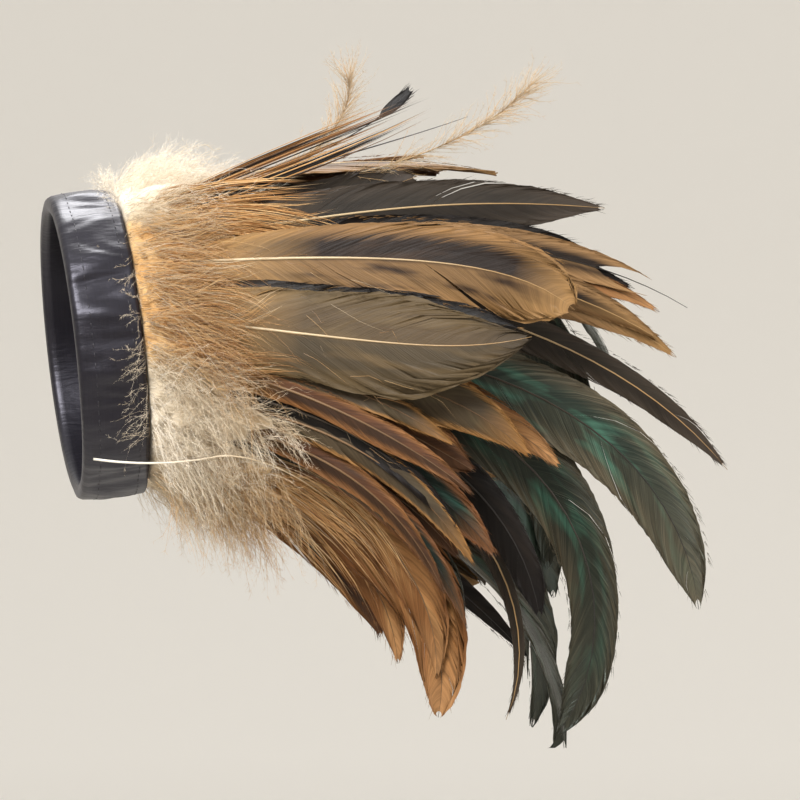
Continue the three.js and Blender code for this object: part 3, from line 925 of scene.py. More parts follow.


# %% [markdown]
# Feather colours. Cock feathers are pale and loose at the quill, take their colour towards the middle, and
# often carry a border in another shade. One function paints them in layers: the lower half, patches from
# noise, a border that sets in towards the edge, the quill's end and the tip. On the glossy green kinds the
# patches are partly the feather's own green and partly painted iridescent sheen. Fine lines along the barbs
# go over all of it, in brightness and in relief, and on the glossy kinds some of these lines are painted
# pale as glints, which are painted highlights.

# %% Vane finishes
VANE_COLUMNS = (
    "quill", "body", "lower", "border", "tip", "patch_and_sheen",
    "border_from", "border_to", "tip_from", "contrast", "roughness",
)
VANES = {
    "bronze": (
        "#97764a", "#1c140e", "#57432c", "#7f6140", "#86663f", "#33261a", 0.3, 0.72, 0.84, 0.3, 0.44,
    ),
    "broad_bronze": (
        "#97764a", "#1b1008", "#6b5133", "#7f5f3b", "#8d6c44", "#2c1d10", 0.52, 0.84, 0.84, 0.35, 0.44,
    ),
    "olive": ("#94754a", "#4e3f2b", "#453b2c", "#55462f", "#3a3125", "#5a4a33", 0.5, 0.98, 0.84, 0.2, 0.44),
    # In the glossy green kinds below, the patch colour is partly the feather's own green and partly painted
    # iridescent sheen.
    "green": (
        "#46341f", "#181912", "#1d1c15", "#3c3326", "#2a271f", "#284437", 0.4, 0.98, 0.72, 0.75, 0.28,
    ),
    "teal": ("#46341f", "#20261f", "#2a2920", "#4f4536", "#484134", "#38594a", 0.4, 0.98, 0.74, 0.75, 0.28),
    "forest": (
        "#4a3822", "#161d18", "#1c1a14", "#774a2a", "#684226", "#1f3a31", 0.55, 0.92, 0.84, 0.6, 0.34,
    ),
    "ginger": (
        "#b58c58", "#7f5833", "#734c2b", "#6b4526", "#976f48", "#946d44", 0.5, 0.95, 0.84, 0.5, 0.46,
    ),
    "russet": (
        "#82603a", "#50321e", "#3b281b", "#7d5532", "#4a3120", "#33241a", 0.5, 0.9, 0.84, 0.55, 0.46,
    ),
    "laced": (
        "#755a38", "#3d3326", "#463b2c", "#8a6439", "#825c33", "#4f4533", 0.74, 0.92, 0.84, 0.35, 0.44,
    ),
    "slate": (
        "#5c4c3b", "#2b251e", "#241e18", "#362e26", "#3b322a", "#201b15", 0.4, 0.95, 0.84, 0.35, 0.42,
    ),
    "black": ("#33281f", "#151210", "#151210", "#1c1714", "#141110", "#201a16", 0.5, 0.95, 0.84, 0.4, 0.36),
}
GLOSSY = ("green", "teal", "forest")
GLOSS_TINT = "#d2e8de"
# Pale colour laid on some barb lines of the glossy kinds: painted glints, that is painted highlights.
PAINTED_GLINT = "#8f8975"
PAINTED_GLINT_SHARE = 0.14
PATCH_AND_SHEEN_SHARE = 0.44
RAGGED = 0.3
VANE_PATTERNS = {
    "patch_and_sheen_noise": {"along_shaft": 22 * MM, "along_barb": 5 * MM, "detail": 2.0},
    "lines": {"along_shaft": 0.5 * MM, "along_barb": 14 * MM, "detail": 2.0},
    "streaks": {"along_shaft": 2.6 * MM, "along_barb": 20 * MM, "detail": 1.0},
}


def vane_patterns(made):
    """Noises with one size along the shaft and another along the barbs."""
    barb = add_node(made, "ShaderNodeUVMap", uv_map="barb")
    found = {}
    for name, size in VANE_PATTERNS.items():
        scale = (1 / size["along_shaft"], 1 / size["along_barb"], 1.0)
        stretch = add_node(made, "ShaderNodeMapping", {"Vector": barb.outputs["UV"], "Scale": scale})
        inputs = {"Vector": stretch.outputs["Vector"], "Scale": 1.0, "Detail": size["detail"]}
        found[name] = add_node(made, "ShaderNodeTexNoise", inputs).outputs["Fac"]
    return found


def vane_material(name, look):
    made = new_material(name + "_vane")
    spot = add_node(made, "ShaderNodeUVMap", uv_map="vane")
    place = add_node(made, "ShaderNodeSeparateXYZ", {"Vector": spot.outputs["UV"]}).outputs
    noise = vane_patterns(made)
    centred = add_node(made, "ShaderNodeMath", {0: place["X"], 1: 0.5}, operation="SUBTRACT")
    outward = add_node(made, "ShaderNodeMath", {0: centred.outputs[0]}, operation="ABSOLUTE")
    frayed = {0: noise["lines"], 1: RAGGED, 2: outward.outputs[0]}
    ragged = add_node(made, "ShaderNodeMath", frayed, operation="MULTIPLY_ADD")
    edges = [(look[key] + RAGGED) / 2 for key in ("border_from", "border_to")]
    layers = (
        ("lower", place["X"], 0.52, 0.46),
        # Patches: the feathers' own patches, and on the glossy kinds partly painted iridescent sheen.
        ("patch_and_sheen", noise["patch_and_sheen_noise"], 0.93 - PATCH_AND_SHEEN_SHARE, 1.12 - PATCH_AND_SHEEN_SHARE),
        ("border", ragged.outputs[0], *edges),
        ("quill", place["Y"], 0.42, 0.16),
        ("tip", place["Y"], look["tip_from"], 0.99),
    )
    colour = linear(look["body"])
    for key, value, low, high in layers:
        share = add_node(made, "ShaderNodeMapRange", {"Value": value, "From Min": low, "From Max": high})
        laid_on = {0: share.outputs["Result"], MIX_A: colour, MIX_B: linear(look[key])}
        colour = add_node(made, "ShaderNodeMix", laid_on, data_type="RGBA").outputs[MIX_RESULT]
    tint = add_node(made, "ShaderNodeAttribute", attribute_name="tint")
    chance = noise["lines"]
    for value, weight in ((tint.outputs["Fac"], 0.5), (noise["streaks"], 1.2)):
        weighed = {0: value, 1: weight, 2: chance}
        chance = add_node(made, "ShaderNodeMath", weighed, operation="MULTIPLY_ADD").outputs[0]
    bright = add_node(made, "ShaderNodeMapRange", {
        "Value": chance,
        "From Min": 0.85,
        "From Max": 1.85,
        "To Min": 1 - look["contrast"],
        "To Max": 1 + look["contrast"],
    })
    shaded = {0: 1.0, MIX_A: colour, MIX_B: bright.outputs["Result"]}
    shade = add_node(made, "ShaderNodeMix", shaded, data_type="RGBA", blend_type="MULTIPLY")
    relief = {"Height": noise["lines"], "Strength": 0.5, "Distance": 0.3 * MM}
    surface = {
        "Base Color": shade.outputs[MIX_RESULT],
        "Roughness": look["roughness"],
        "Specular IOR Level": 0.14,
        "Normal": add_node(made, "ShaderNodeBump", relief).outputs["Normal"],
    }
    # On the glossy kinds pale barb lines are painted into the base colour as glints: painted highlights.
    if name in GLOSSY:
        painted_glint_range = {"Value": noise["lines"], "From Min": 0.58, "From Max": 0.72, "To Max": PAINTED_GLINT_SHARE}
        painted_glint = add_node(made, "ShaderNodeMapRange", painted_glint_range)
        laid_on = {0: painted_glint.outputs["Result"], MIX_A: surface["Base Color"], MIX_B: linear(PAINTED_GLINT)}
        painted_glint_mix = add_node(made, "ShaderNodeMix", laid_on, data_type="RGBA")
        surface["Base Color"] = painted_glint_mix.outputs[MIX_RESULT]
        surface["Specular Tint"] = linear(GLOSS_TINT)
        surface["Specular IOR Level"] = 0.42
    return finish_material(made, add_node(made, "ShaderNodeBsdfPrincipled", surface))


vane_finishes = [vane_material(name, dict(zip(VANE_COLUMNS, look))) for name, look in VANES.items()]
print("vane finishes", len(vane_finishes))

# %% [markdown]
# Shafts are horn. Horn is smooth and a little glossy, pale at the quill and darker at the tip, with a faint
# grain, and it gives the eye the thin bright lines that tell one feather from the next.

# %% Horn finishes
HORN_GRAIN = 24.0


def horn_material(name, quill, tip):
    made = new_material(name)
    spot = add_node(made, "ShaderNodeUVMap", uv_map="vane").outputs["UV"]
    place = add_node(made, "ShaderNodeSeparateXYZ", {"Vector": spot})
    tone = add_node(made, "ShaderNodeValToRGB", {"Fac": place.outputs["Y"]}, [(0.1, quill), (0.8, tip)])
    grain = add_node(made, "ShaderNodeTexNoise", {"Vector": spot, "Scale": HORN_GRAIN, "Detail": 3.0})
    bright = add_node(made, "ShaderNodeMapRange", {
        "Value": grain.outputs["Fac"],
        "From Min": 0.3,
        "From Max": 0.7,
        "To Min": 0.78,
        "To Max": 1.12,
    })
    shaded = {0: 1.0, MIX_A: tone.outputs["Color"], MIX_B: bright.outputs["Result"]}
    shade = add_node(made, "ShaderNodeMix", shaded, data_type="RGBA", blend_type="MULTIPLY")
    surface = {"Base Color": shade.outputs[MIX_RESULT], "Roughness": 0.35}
    return finish_material(made, add_node(made, "ShaderNodeBsdfPrincipled", surface))


pale_horn = horn_material("pale_horn_shaft", "#d9c7a3", "#a07f52")
white_horn = horn_material("white_horn_quill", "#f6f0e2", "#c9a873")
dark_horn = horn_material("dark_horn_shaft", "#54442f", "#1c1714")
brown_horn = horn_material("brown_horn_shaft", "#8f6d45", "#5d4326")

# %% [markdown]
# Down is rough and scatters light in every direction, so it gives the eye softness and no gleam. One ramp
# holds all its tones, each strand is a little darker at its root, and fine relief fluffs the body under it.

# %% Down finish
FLUFF_WIDTH = 0.7 * MM
FLUFF_LENGTH = 5 * MM
# The grey-beige stop at 0.34 colours the low down, partly its own tone and partly painted shade of the
# underside.
DOWN_TONES = [
    (0.0, "#fff4e2"), (0.14, "#efdfc5"), (0.26, "#d8c4a4"), (0.34, "#bca483"), (0.42, "#dcb681"),
    (0.5, "#cb9c62"), (0.64, "#a47341"), (0.82, "#5e3f24"), (1.0, "#171310"),
]
down_finish = new_material("soft_down")
strand_map = add_node(down_finish, "ShaderNodeUVMap", uv_map="vane")
strand_place = add_node(down_finish, "ShaderNodeSeparateXYZ", {"Vector": strand_map.outputs["UV"]})
strand_tone = add_node(down_finish, "ShaderNodeValToRGB", {"Fac": strand_place.outputs["X"]}, DOWN_TONES)
strand_bright = add_node(
    down_finish, "ShaderNodeMapRange", {"Value": strand_place.outputs["Y"], "To Min": 0.9, "To Max": 1.08}
)
strand_shaded = {0: 1.0, MIX_A: strand_tone.outputs["Color"], MIX_B: strand_bright.outputs["Result"]}
strand_shade = add_node(
    down_finish, "ShaderNodeMix", strand_shaded, data_type="RGBA", blend_type="MULTIPLY"
)
fluff_map = add_node(down_finish, "ShaderNodeUVMap", uv_map="barb")
fluff_scale = (1 / FLUFF_WIDTH, 1 / FLUFF_LENGTH, 1.0)
fluff_place = add_node(
    down_finish, "ShaderNodeMapping", {"Vector": fluff_map.outputs["UV"], "Scale": fluff_scale}
)
fluff = add_node(down_finish, "ShaderNodeTexNoise", {
    "Vector": fluff_place.outputs["Vector"],
    "Scale": 1.0,
    "Detail": 4.0,
    "Distortion": 0.6,
})
fluffed = add_node(
    down_finish, "ShaderNodeBump", {"Height": fluff.outputs["Fac"], "Strength": 0.8, "Distance": 1.0 * MM}
)
down_shader = add_node(down_finish, "ShaderNodeBsdfPrincipled", {
    "Base Color": strand_shade.outputs[MIX_RESULT],
    "Roughness": 0.8,
    "Specular IOR Level": 0.2,
    "Sheen Weight": 0.3,
    "Sheen Roughness": 0.5,
    "Normal": fluffed.outputs["Normal"],
})
finish_material(down_finish, down_shader)

# %% [markdown]
# The two rows of feathers. Each feather gets its vanes and its shaft; thin stems carry only a tuft at the
# end, wisps are loose strands along the outer half of a stem, and a hackle is a sheaf of narrow barbs. A
# gold lock is such a sheaf too, of the soft strands that a feather has near its quill.

# %% Wisps and hackles
DARK_SHAFTS = ("green", "teal", "forest", "black", "black_stem", "bare_stem")
PALE_SHAFTS = ("bronze", "broad_bronze", "olive", "slate", "tan_wisp")
KINDS = list(VANES)
PALE, DARK, BROWN, LOOSE = range(len(KINDS), len(KINDS) + 4)
feather_finishes = vane_finishes + [pale_horn, dark_horn, brown_horn, down_finish]
WISP_STRANDS = 230
WISP_TONE = 0.36
HACKLE_STATIONS = 7
HACKLE_STRANDS = 64
LOCK_STRANDS = 72
HACKLE_TONES = (0.5, 0.58, 0.66, 0.74, 0.82, 0.97, 1.0)
LOCK_TONES = (0.42, 0.46, 0.5, 0.53, 0.57, 0.64)


def add_wisp(bundle, row, feather, draw, cell):
    count = WISP_STRANDS
    share = draw.uniform(0.0, 1.0, count) ** 0.6 * 0.5 + 0.5
    place, direction, face = walk_shaft(row, feather)(share)
    side = np.cross(face, direction)
    fan = draw.normal(size=(count, 2)) * 0.5
    ways = direction + side * fan[:, :1] + face * fan[:, 1:]
    lengths = draw.uniform(8, 17, count) * MM
    tones = np.clip(draw.normal(WISP_TONE, 0.05, count), 0, 1)
    curves = add_strands(bundle, place, ways, lengths, tones, LOOSE, draw, 0.15 * MM, sag=0.02, cell=cell)
    add_barbules(bundle, curves, tones, LOOSE, draw, 8, 2.2 * MM, cell)


def add_hackle(
    bundle, row, feather, draw, tones, slot, count=HACKLE_STRANDS, broad=(0.2, 0.6), sway=0.0, cell=WHOLE_MAP
):
    """A sheaf of narrow barbs that part in the middle and run together again at the tip."""
    at = walk_shaft(row, feather)
    offset = draw.uniform(-1, 1, (count, 1)) * feather["width"] * MM / 2
    first = draw.uniform(0.0, 0.35, (count, 1))
    final = draw.uniform(0.6, 1.0, (count, 1))
    s = np.linspace(0, 1, HACKLE_STATIONS)[None]
    share = first + (final - first) * s
    place, direction, face = at(share)
    side = np.cross(face, direction)
    swing = np.sin(share * draw.uniform(4, 9) + draw.uniform(0, 6)) * share
    own = np.sin(share * draw.uniform(5, 13, (count, 1)) + draw.uniform(0, 6, (count, 1))) * share
    fan = offset * (0.45 + 0.75 * share - 0.6 * share ** 3) + sway * (swing + 0.4 * own)
    rise = draw.normal(0, 1.2 * MM, (count, 1)) * share
    curves = place + side * fan[..., None] + face * rise[..., None]
    widths = draw.uniform(*broad, (count, 1)) * MM * (0.55 + 1.2 * s - 1.6 * s ** 3)
    widths = np.maximum(widths, 0.05 * MM)
    tones = np.clip(draw.choice(tones, count) + draw.normal(0, 0.02, count), 0, 1)[:, None]
    vane = paired(tones, s)
    add_curves(bundle, curves, widths, slot, vane, on_map(cell, vane), draw.uniform(0, 1, count))


# %% [markdown]
# A row is built feather by feather, each with its own cell on the bake map. The kind of a feather says which
# vanes, which weave and which horn it gets.

# %% Long and short rows
def weave_of(kind):
    return "silky" if kind in SILKY else "smooth" if kind in SMOOTH else "firm"


def build_row(name, row, feathers, node):
    bundle = new_bundle()
    for i, feather in enumerate(feathers):
        cell = bake_cell(i, len(feathers))
        kind = feather["kind"]
        draw = np.random.default_rng(i + 50)
        horn = DARK if kind in DARK_SHAFTS else PALE if kind in PALE_SHAFTS else BROWN
        if kind in VANES:
            add_vanes(bundle, row, feather, KINDS.index(kind), cell, weave_of(kind))
            add_rachis(bundle, row, feather, horn, cell, thick=0.7)
        elif kind == "bronze_stem":
            add_vanes(bundle, row, feather, KINDS.index("bronze"), cell, "silky", vane_to=0.82)
            add_rachis(bundle, row, feather, DARK, cell, thick=0.7)
        elif kind == "tan_wisp":
            add_rachis(bundle, row, feather, PALE, cell, thick=0.5)
            add_wisp(bundle, row, feather, draw, strand_cell(cell))
        elif kind == "hackle":
            add_hackle(bundle, row, feather, draw, HACKLE_TONES, LOOSE, cell=cell)
        elif kind == "gold_lock":
            add_hackle(
                bundle, row, feather, draw, LOCK_TONES, LOOSE, LOCK_STRANDS, (0.16, 0.44), 2.0 * MM, cell
            )
        else:
            add_rachis(bundle, row, feather, horn, cell, thick=0.6)
            if kind == "black_stem":
                add_vanes(bundle, row, feather, KINDS.index("black"), cell, "firm", vane_from=0.86)
    piece = piece_from_bundle(name, bundle, feather_finishes)
    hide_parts(node)


build_row("front_tail_feathers", "long", long_front, "long_row")
build_row("back_tail_feathers", "long", long_back, "long_row")
build_row("front_saddle_feathers", "short", short_front, "short_row")
build_row("back_saddle_feathers", "short", short_back, "short_row")

# %% [markdown]
# Near the quill a saddle feather is soft, golden and open. Those soft bases show at the sides and the back of
# the band's mouth, so they are short gold locks of their own, each with its own lift and sway.

# %% Golden bases
GOLDEN_RUNS = ((46, 60, 4), (-66, -44, 5), (112, 246, 16))


def golden_bases():
    draw = np.random.default_rng(61)
    bases = []
    for ring_from, ring_to, count in GOLDEN_RUNS:
        for ring in np.linspace(ring_from, ring_to, count):
            turned_to_front = 0.8 * ring if ring < 90 else draw.uniform(-15, 15)
            bases.append({
                "ring": ring + draw.uniform(-2, 2), "length": draw.uniform(54, 84),
                "width": draw.uniform(17, 26),
                "rise": 8 * math.sin(math.radians(ring)) + draw.normal(0, 4), "droop": draw.uniform(0, 40),
                "late": 1.5, "roll": turned_to_front, "outline": "saddle", "kind": "gold_lock",
                "front": draw.normal(-2, 3),
            })
    return bases


build_row("golden_bases", "loose", golden_bases(), "short_row")

# %% [markdown]
# Down hides the quills all round the mouth of the band. Real down is a mist of barbs, and a mist is too
# many for a mesh, so it is built as a fur: a soft lumpy body that gives the mass and the colour between the
# barbs, and on it thousands of wavy barbs with barbules. The body is painted a little darker than the barbs,
# as painted shade under them. Neighbouring barbs lean the same way, as in tufts. Over the front they lie
# combed along the feathers, and elsewhere they stand up wild. The tone follows the ring: cream on top, gold
# over the front, grey cream below it and beige under the arm; the grey and beige low down are partly the
# down's own tone and partly painted shade of the underside. Towards its outer end the down takes on the
# tone of the feathers.

# %% Sizes of the down
DOWN_COLUMNS = ("ring", "tone", "outer", "length", "height", "wild")
# Rings -66 and -54 are grey-beige, partly the down's own tone and partly painted shade of the underside.
DOWN_ROUND = np.array([
    (-66, 0.3, 0.44, 40, 7, 0.7), (-54, 0.24, 0.48, 42, 9, 0.8), (-40, 0.12, 0.46, 44, 11, 0.9),
    # At ring 2 the browner outer tone is partly painted shade under the olive feather.
    (-24, 0.08, 0.16, 44, 10, 1), (-10, 0.22, 0.3, 38, 8, 0.8), (2, 0.45, 0.58, 29, 6, 0.4),
    (14, 0.43, 0.52, 23, 5, 0.3), (42, 0.43, 0.52, 23, 5, 0.3), (54, 0.24, 0.44, 27, 6, 0.6),
    (64, 0.02, 0.08, 36, 9, 1), (100, 0.04, 0.1, 36, 8, 1), (140, 0.44, 0.5, 32, 7, 0.6),
    (180, 0.14, 0.2, 38, 9, 1), (215, 0.44, 0.5, 32, 7, 0.6), (248, 0.2, 0.3, 38, 8, 1),
])
DOWN_STEP = 1.6
BODY_SHARE = 0.42
BODY_REACH = 0.85
# The body's tone sits this much darker than its barbs: painted shade under the barbs.
BODY_PAINTED_SHADE = 0.05
TUFT_TONE = 0.07
BARB_SHORTEST = 8
BARB_LONGEST = 25
BARB_THICKNESS = 0.14 * MM
DOWN_STATIONS = 14
LUMP_WAVES = (17, 24, 31, 40, 52)
TUFT_WAVES = (13, 21, 29, 38)


def down_at(ring, column):
    return np.interp(ring, DOWN_ROUND[:, 0], DOWN_ROUND[:, DOWN_COLUMNS.index(column)])


def down_tone(ring, share):
    """Tone of the down: its own near the band, that of the feathers towards its outer end."""
    outward = np.clip((share - 0.3) / 0.5, 0, 1)
    return down_at(ring, "tone") + (down_at(ring, "outer") - down_at(ring, "tone")) * outward


def down_section(ring, share):
    """Middle line, direction, outward face and thickness of the down at one ring."""
    sine = math.sin(math.radians(ring))
    length = down_at(ring, "length") * (1 + 0.16 * float(smooth_noise(np.array(ring), TUFT_WAVES, 13)))
    line = {"ring": ring, "length": length, "rise": 12 * sine, "droop": 30, "late": 1.2, "roll": 0}
    line["front"] = -6
    place, direction, face = walk_shaft("down", line)(share)
    lumps = 0.8 + 0.7 * smooth_noise(ring + 26 * np.sin(5 * share), LUMP_WAVES, 12)
    hump = np.sin(np.pi * np.clip(share, 0, 1) ** 0.7)
    return place, direction, face, down_at(ring, "height") * MM * hump * np.clip(lumps, 0.25, 1.4)


# %% [markdown]
# The down is laid ring by ring: first a slice of the body, then the barbs that stand on it.

# %% Down row
def build_down(name, ring_from, ring_to, barbs, barbules, seed):
    bundle = new_bundle()
    draw = np.random.default_rng(seed)
    columns = np.linspace(ring_from, ring_to, int((ring_to - ring_from) / DOWN_STEP))
    share = np.linspace(0, 1, DOWN_STATIONS)
    body, tones, starts, ways, barb_tones, wilds = [], [], [], [], [], []
    for ring in columns:
        place, _, face, thick = down_section(ring, share * BODY_REACH)
        thick = thick * BODY_SHARE
        top = place + face * thick[:, None]
        under = place - face * (0.3 * thick + 0.1 * MM)[:, None]
        body.append(np.concatenate([top, under[::-1]]))
        mottle = 0.05 * smooth_noise(ring + 20 * share, TUFT_WAVES, 14)
        # The body is painted a little darker than the barbs, as the shade under them.
        tones.append(down_tone(ring, share) + BODY_PAINTED_SHADE + mottle)
        spot = draw.uniform(0.04, 1.0, barbs)
        place, direction, face, thick = down_section(ring, spot)
        side = np.cross(face, direction)
        wild = down_at(ring, "wild")
        swirl = 0.7 * smooth_noise(ring + 40 * spot, TUFT_WAVES, 15) + draw.normal(0, 0.16, barbs)
        out = 0.4 + 0.3 * smooth_noise(ring - 30 * spot, TUFT_WAVES, 16) + draw.normal(0, 0.14, barbs)
        leaning = side * (wild * swirl)[:, None] + face * np.clip(wild * out, 0.02, 1)[:, None]
        depth = thick * draw.uniform(BODY_SHARE - 0.05, 1.0, barbs)
        starts.append(place + face * depth[:, None] + side * draw.normal(0, 1.2 * MM, (barbs, 1)))
        ways.append(direction * 0.7 + leaning)
        streak = 0.04 + 0.08 * (1 - wild)
        tuft_tone = TUFT_TONE * smooth_noise(ring + 30 * np.sin(4 * spot), TUFT_WAVES, 17)
        barb_tones.append(down_tone(ring, spot) + tuft_tone + draw.normal(0, streak, barbs))
        wilds.append(np.full(barbs, wild))
    body = np.stack(body)
    across = np.concatenate([share, share[::-1]])
    shade = np.clip(np.concatenate([tones, np.flip(tones, 1)], 1), 0, 1)
    vane = paired(shade, across[None])
    round_the_loop = np.radians(columns)[:, None] * OPENING_DEPTH / 2
    barb = paired(round_the_loop, across[None] * 40 * MM)
    add_sleeve(bundle, body, 0, vane, barb, on_map(WHOLE_MAP, vane), 0.5)
    barb_tones = np.clip(np.concatenate(barb_tones), 0, 1)
    starts, ways = np.concatenate(starts), np.concatenate(ways)
    wilds = np.concatenate(wilds)
    lengths = draw.uniform(0, 1, len(starts)) ** 1.4 * (BARB_LONGEST - BARB_SHORTEST) + BARB_SHORTEST
    lengths = lengths * (1.3 - 0.3 * wilds) * MM
    waves = (0.04 + 0.13 * wilds)[:, None, None]
    curves = add_strands(bundle, starts, ways, lengths, barb_tones, 0, draw, BARB_THICKNESS, wave=waves)
    reaches = (0.6 + 2.6 * wilds)[:, None, None] * MM
    add_barbules(bundle, curves, barb_tones, 0, draw, barbules, reaches)
    piece = piece_from_bundle(name, bundle, [down_finish])
    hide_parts("down_row")


build_down("front_down", -66, 8, barbs=45, barbules=12, seed=21)
build_down("top_down", 8, 104, barbs=30, barbules=12, seed=22)
build_down("back_down", 104, 248, barbs=22, barbules=7, seed=23)

# %% [markdown]
# Between the down and the vanes lie the long loose barbs of the feathers' own bases. They run with the
# feathers in wavy locks like combed hair, tan over the front, and hide where the shafts come out of the band.

# %% Loose base barbs
LOCKS = [
    {"from": -66, "to": -42, "count": 10, "droop": 50, "lift": 4, "length": 74, "tone": 0.44},
    {"from": -42, "to": 2, "count": 4, "droop": 24, "lift": 8, "length": 34, "tone": 0.3},
    # This darker brown lock is partly the brown barbs at the olive feather's base and partly painted shade
    # under it.
    {"from": -7, "to": 7, "count": 4, "droop": 16, "lift": 4, "length": 50, "tone": 0.6},
    {"from": 2, "to": 56, "count": 16, "droop": 10, "lift": 10, "length": 43, "tone": 0.47},
    {"from": 56, "to": 104, "count": 8, "droop": 12, "lift": 5, "length": 50, "tone": 0.24},
    {"from": 104, "to": 246, "count": 16, "droop": 16, "lift": 12, "length": 56, "tone": 0.44},
]
TONE_STEPS = np.array((-0.22, -0.12, -0.02, 0.05, 0.12, 0.3))
BASE_STRANDS = 30
base_bundle = new_bundle()
base_draw = np.random.default_rng(31)
for zone in LOCKS:
    for ring in np.linspace(zone["from"], zone["to"], zone["count"]):
        lock = {
            "ring": ring + base_draw.uniform(-1.5, 1.5),
            "length": zone["length"] * base_draw.uniform(0.7, 1.25),
            "width": base_draw.uniform(9, 17), "late": 1.5, "roll": base_draw.uniform(-20, 20),
            "rise": zone["lift"] * math.sin(math.radians(ring)) + base_draw.normal(0, 3),
            "droop": zone["droop"] + base_draw.normal(0, 12), "front": base_draw.normal(2, 3),
        }
        shades = zone["tone"] + TONE_STEPS
        add_hackle(base_bundle, "loose", lock, base_draw, shades, 0, BASE_STRANDS, (0.1, 0.24), 3.0 * MM)
base_barbs = piece_from_bundle("base_barbs", base_bundle, [down_finish])
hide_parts("down_row")

# %% [markdown]
# The small strays make it a real thing: curled white barbs that cling to the ribbon, a cream tuft that
# spills over its upper edge, single barbs that have come loose among the vanes, and one bare white quill
# that was left outside and lies across the band.

# %% Curls on the ribbon
stray_bundle = new_bundle()
STRAY_CELL = strand_cell(WHOLE_MAP)
CURL_THICKNESS = 0.06 * MM
CURLS = (
    (-38, 0, 40, 16 * MM, (-0.8, 0, -0.3), 0.16),
    (0, 46, 22, 11 * MM, (-0.5, 0, -0.5), 0.2),
    (56, 104, 110, 11 * MM, (-0.3, 0, 0.35), 0.03),
    (120, 240, 60, 9 * MM, (-0.7, 0, -0.1), 0.08),
)
stray_draw = np.random.default_rng(41)


def add_curls(ring_from, ring_to, count, length, way, tone):
    ring = stray_draw.uniform(ring_from, ring_to, count)
    start = on_loop(ring, BAND_THICKNESS + stray_draw.uniform(0.3, 1.6, count) * MM, BAND_WIDTH / 2)
    ways = np.array(way) + loop_normal(ring) * 0.25 + stray_draw.normal(0, 0.35, (count, 3))
    lengths = stray_draw.uniform(0.5, 1.0, count) * length
    tones = np.clip(stray_draw.normal(tone, 0.04, count), 0, 1)
    curves = add_strands(
        stray_bundle, start, ways, lengths, tones, 0, stray_draw, CURL_THICKNESS, 0.05, 0.22, STRAY_CELL
    )
    add_barbules(stray_bundle, curves, tones, 0, stray_draw, 16, 1.5 * MM, STRAY_CELL)


for curl in CURLS:
    add_curls(*curl)

# %% [markdown]
# A ragged fringe hangs from the lower edge of the down, and single barbs lie loose among the vanes.

# %% Loose barbs
FRINGE_COUNT = 150
FRINGE_THICKNESS = 0.12 * MM
STRAY_COUNT = 260
STRAY_THICKNESS = 0.1 * MM
STRAY_TONES = (0.3, 0.44, 0.5, 0.62, 0.8, 0.95)
fringe_start = np.empty((FRINGE_COUNT, 3))
for i in range(FRINGE_COUNT):
    place, _, face, thick = down_section(stray_draw.uniform(-66, -46), stray_draw.uniform(0.25, 0.95, 1))
    fringe_start[i] = place[0] + face[0] * thick[0] * 0.6
fringe_way = np.array([0.25, 0.0, -1.0]) + stray_draw.normal(0, 0.3, (FRINGE_COUNT, 3))
fringe_tone = np.clip(stray_draw.normal(0.44, 0.07, FRINGE_COUNT), 0, 1)
fringe_length = stray_draw.uniform(8, 24, FRINGE_COUNT) * MM
fringe_curves = add_strands(
    stray_bundle, fringe_start, fringe_way, fringe_length, fringe_tone, 0, stray_draw,
    FRINGE_THICKNESS, 0.1, 0.16, STRAY_CELL,
)
add_barbules(stray_bundle, fringe_curves, fringe_tone, 0, stray_draw, 10, 2.4 * MM, STRAY_CELL)

stray_ring = np.where(
    stray_draw.uniform(size=STRAY_COUNT) < 0.6,
    stray_draw.uniform(-60, 60, STRAY_COUNT),
    stray_draw.uniform(60, 246, STRAY_COUNT),
)
stray_start = np.empty((STRAY_COUNT, 3))
stray_way = np.empty((STRAY_COUNT, 3))
for i, ring in enumerate(stray_ring):
    rise = 8 * math.sin(math.radians(ring))
    guide = {"ring": ring, "length": 100, "rise": rise, "droop": 30, "late": 2, "roll": 0}
    spot, way, face = walk_shaft("loose", guide)(stray_draw.uniform(0.25, 0.85, 1))
    stray_start[i] = spot[0] - face[0] * stray_draw.uniform(0, 9) * MM
    stray_way[i] = way[0] + face[0] * 0.12 + stray_draw.normal(0, 0.3, 3)
stray_tone = stray_draw.choice(STRAY_TONES, STRAY_COUNT)
stray_lengths = stray_draw.uniform(9, 26, STRAY_COUNT) * MM
add_strands(
    stray_bundle, stray_start, stray_way, stray_lengths, stray_tone, 0, stray_draw,
    STRAY_THICKNESS, 0.1, 0.12, STRAY_CELL,
)

# %% [markdown]
# The bare quill starts on the ribbon, runs free over the edge of the band and joins the low ginger feather.

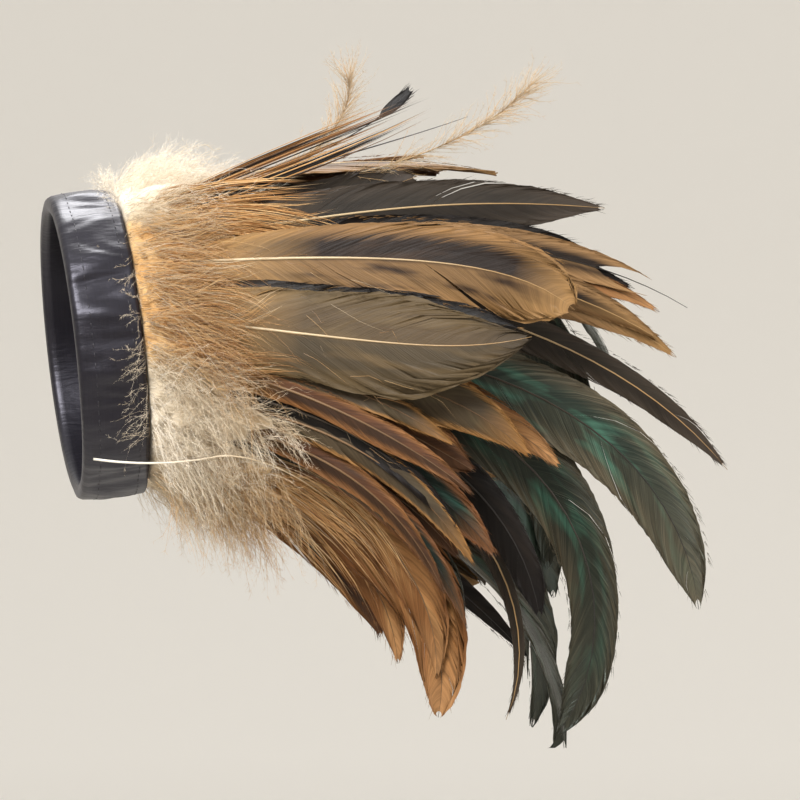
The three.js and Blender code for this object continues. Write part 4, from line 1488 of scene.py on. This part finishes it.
# %% Bare quill
QUILL_STATIONS = 24
QUILL_RINGS = (-43, -18)
QUILL_OUT = (1.6 * MM, 45.6 * MM)
QUILL_ALONG = (-8 * MM, 54 * MM)
QUILL_RADII = (0.44 * MM, 0.14 * MM)
quill_feather = next(feather for feather in short_front if feather["outline"] == "blunt")
quill_share = np.linspace(0, 1, QUILL_STATIONS)
feather_place, _, feather_face = walk_shaft("short", quill_feather)(0.02 + 0.48 * quill_share)
quill_ring, quill_out, quill_along, quill_radii = [
    np.linspace(*ends, QUILL_STATIONS) for ends in (QUILL_RINGS, QUILL_OUT, QUILL_ALONG, QUILL_RADII)
]
band_place = on_loop(quill_ring, BAND_THICKNESS + quill_out, quill_along)
joined = np.clip((quill_share - 0.6) / 0.4, 0, 1)[:, None]
joined = joined * joined * (3 - 2 * joined)
quill_line = band_place * (1 - joined) + (feather_place + feather_face * 1.5 * MM) * joined
add_tube(stray_bundle, quill_line, quill_radii, 1, quill_share * 0.8, *WHOLE_MAP)
strays = piece_from_bundle("stray_barbs", stray_bundle, [down_finish, white_horn])

# %% [markdown]
# A running stitch along the fold and another along the mouth hold the ribbon to the tapes. Each stitch is
# a short bow of thread that dips into the satin at both ends. The thread is black cotton, and its twisted
# plies give the eye a duller, broken line on the smooth satin.

# %% Stitches
STITCH_LINES = (0.645, 0.93)
STITCH_PITCH = 3.6
STITCH_SHARE = 0.62
STITCH_STATIONS = 6
STITCH_HEIGHT = 0.34
STITCH_DIP = 0.02
THREAD_RADIUS = 0.2 * MM
stitch_bundle = new_bundle()
bow = np.linspace(0, 1, STITCH_STATIONS)
bow_height = (STITCH_HEIGHT * np.sin(np.pi * bow) - STITCH_DIP) * MM
for line in STITCH_LINES:
    for ring in np.arange(0, 360, STITCH_PITCH):
        angles = ring + bow * STITCH_PITCH * STITCH_SHARE
        seam = folded_place(angles, np.full(STITCH_STATIONS, line))
        stitch = seam + loop_normal(angles) * bow_height[:, None]
        add_tube(stitch_bundle, stitch, np.full(STITCH_STATIONS, THREAD_RADIUS), 0, bow, *WHOLE_MAP)
thread = new_material("black_sewing_thread")
thread_map = add_node(thread, "ShaderNodeUVMap", uv_map="vane")
plies = {"Vector": thread_map.outputs["UV"], "Scale": 6.0, "Distortion": 1.0}
ply = add_node(thread, "ShaderNodeTexWave", plies)
thread_stops = [(0.2, "#100e13"), (0.8, "#2b2832")]
thread_tone = add_node(thread, "ShaderNodeValToRGB", {"Fac": ply.outputs["Color"]}, thread_stops)
cotton = {"Base Color": thread_tone.outputs["Color"], "Roughness": 0.45}
finish_material(thread, add_node(thread, "ShaderNodeBsdfPrincipled", cotton))
stitches = piece_from_bundle("ribbon_stitches", stitch_bundle, [thread])
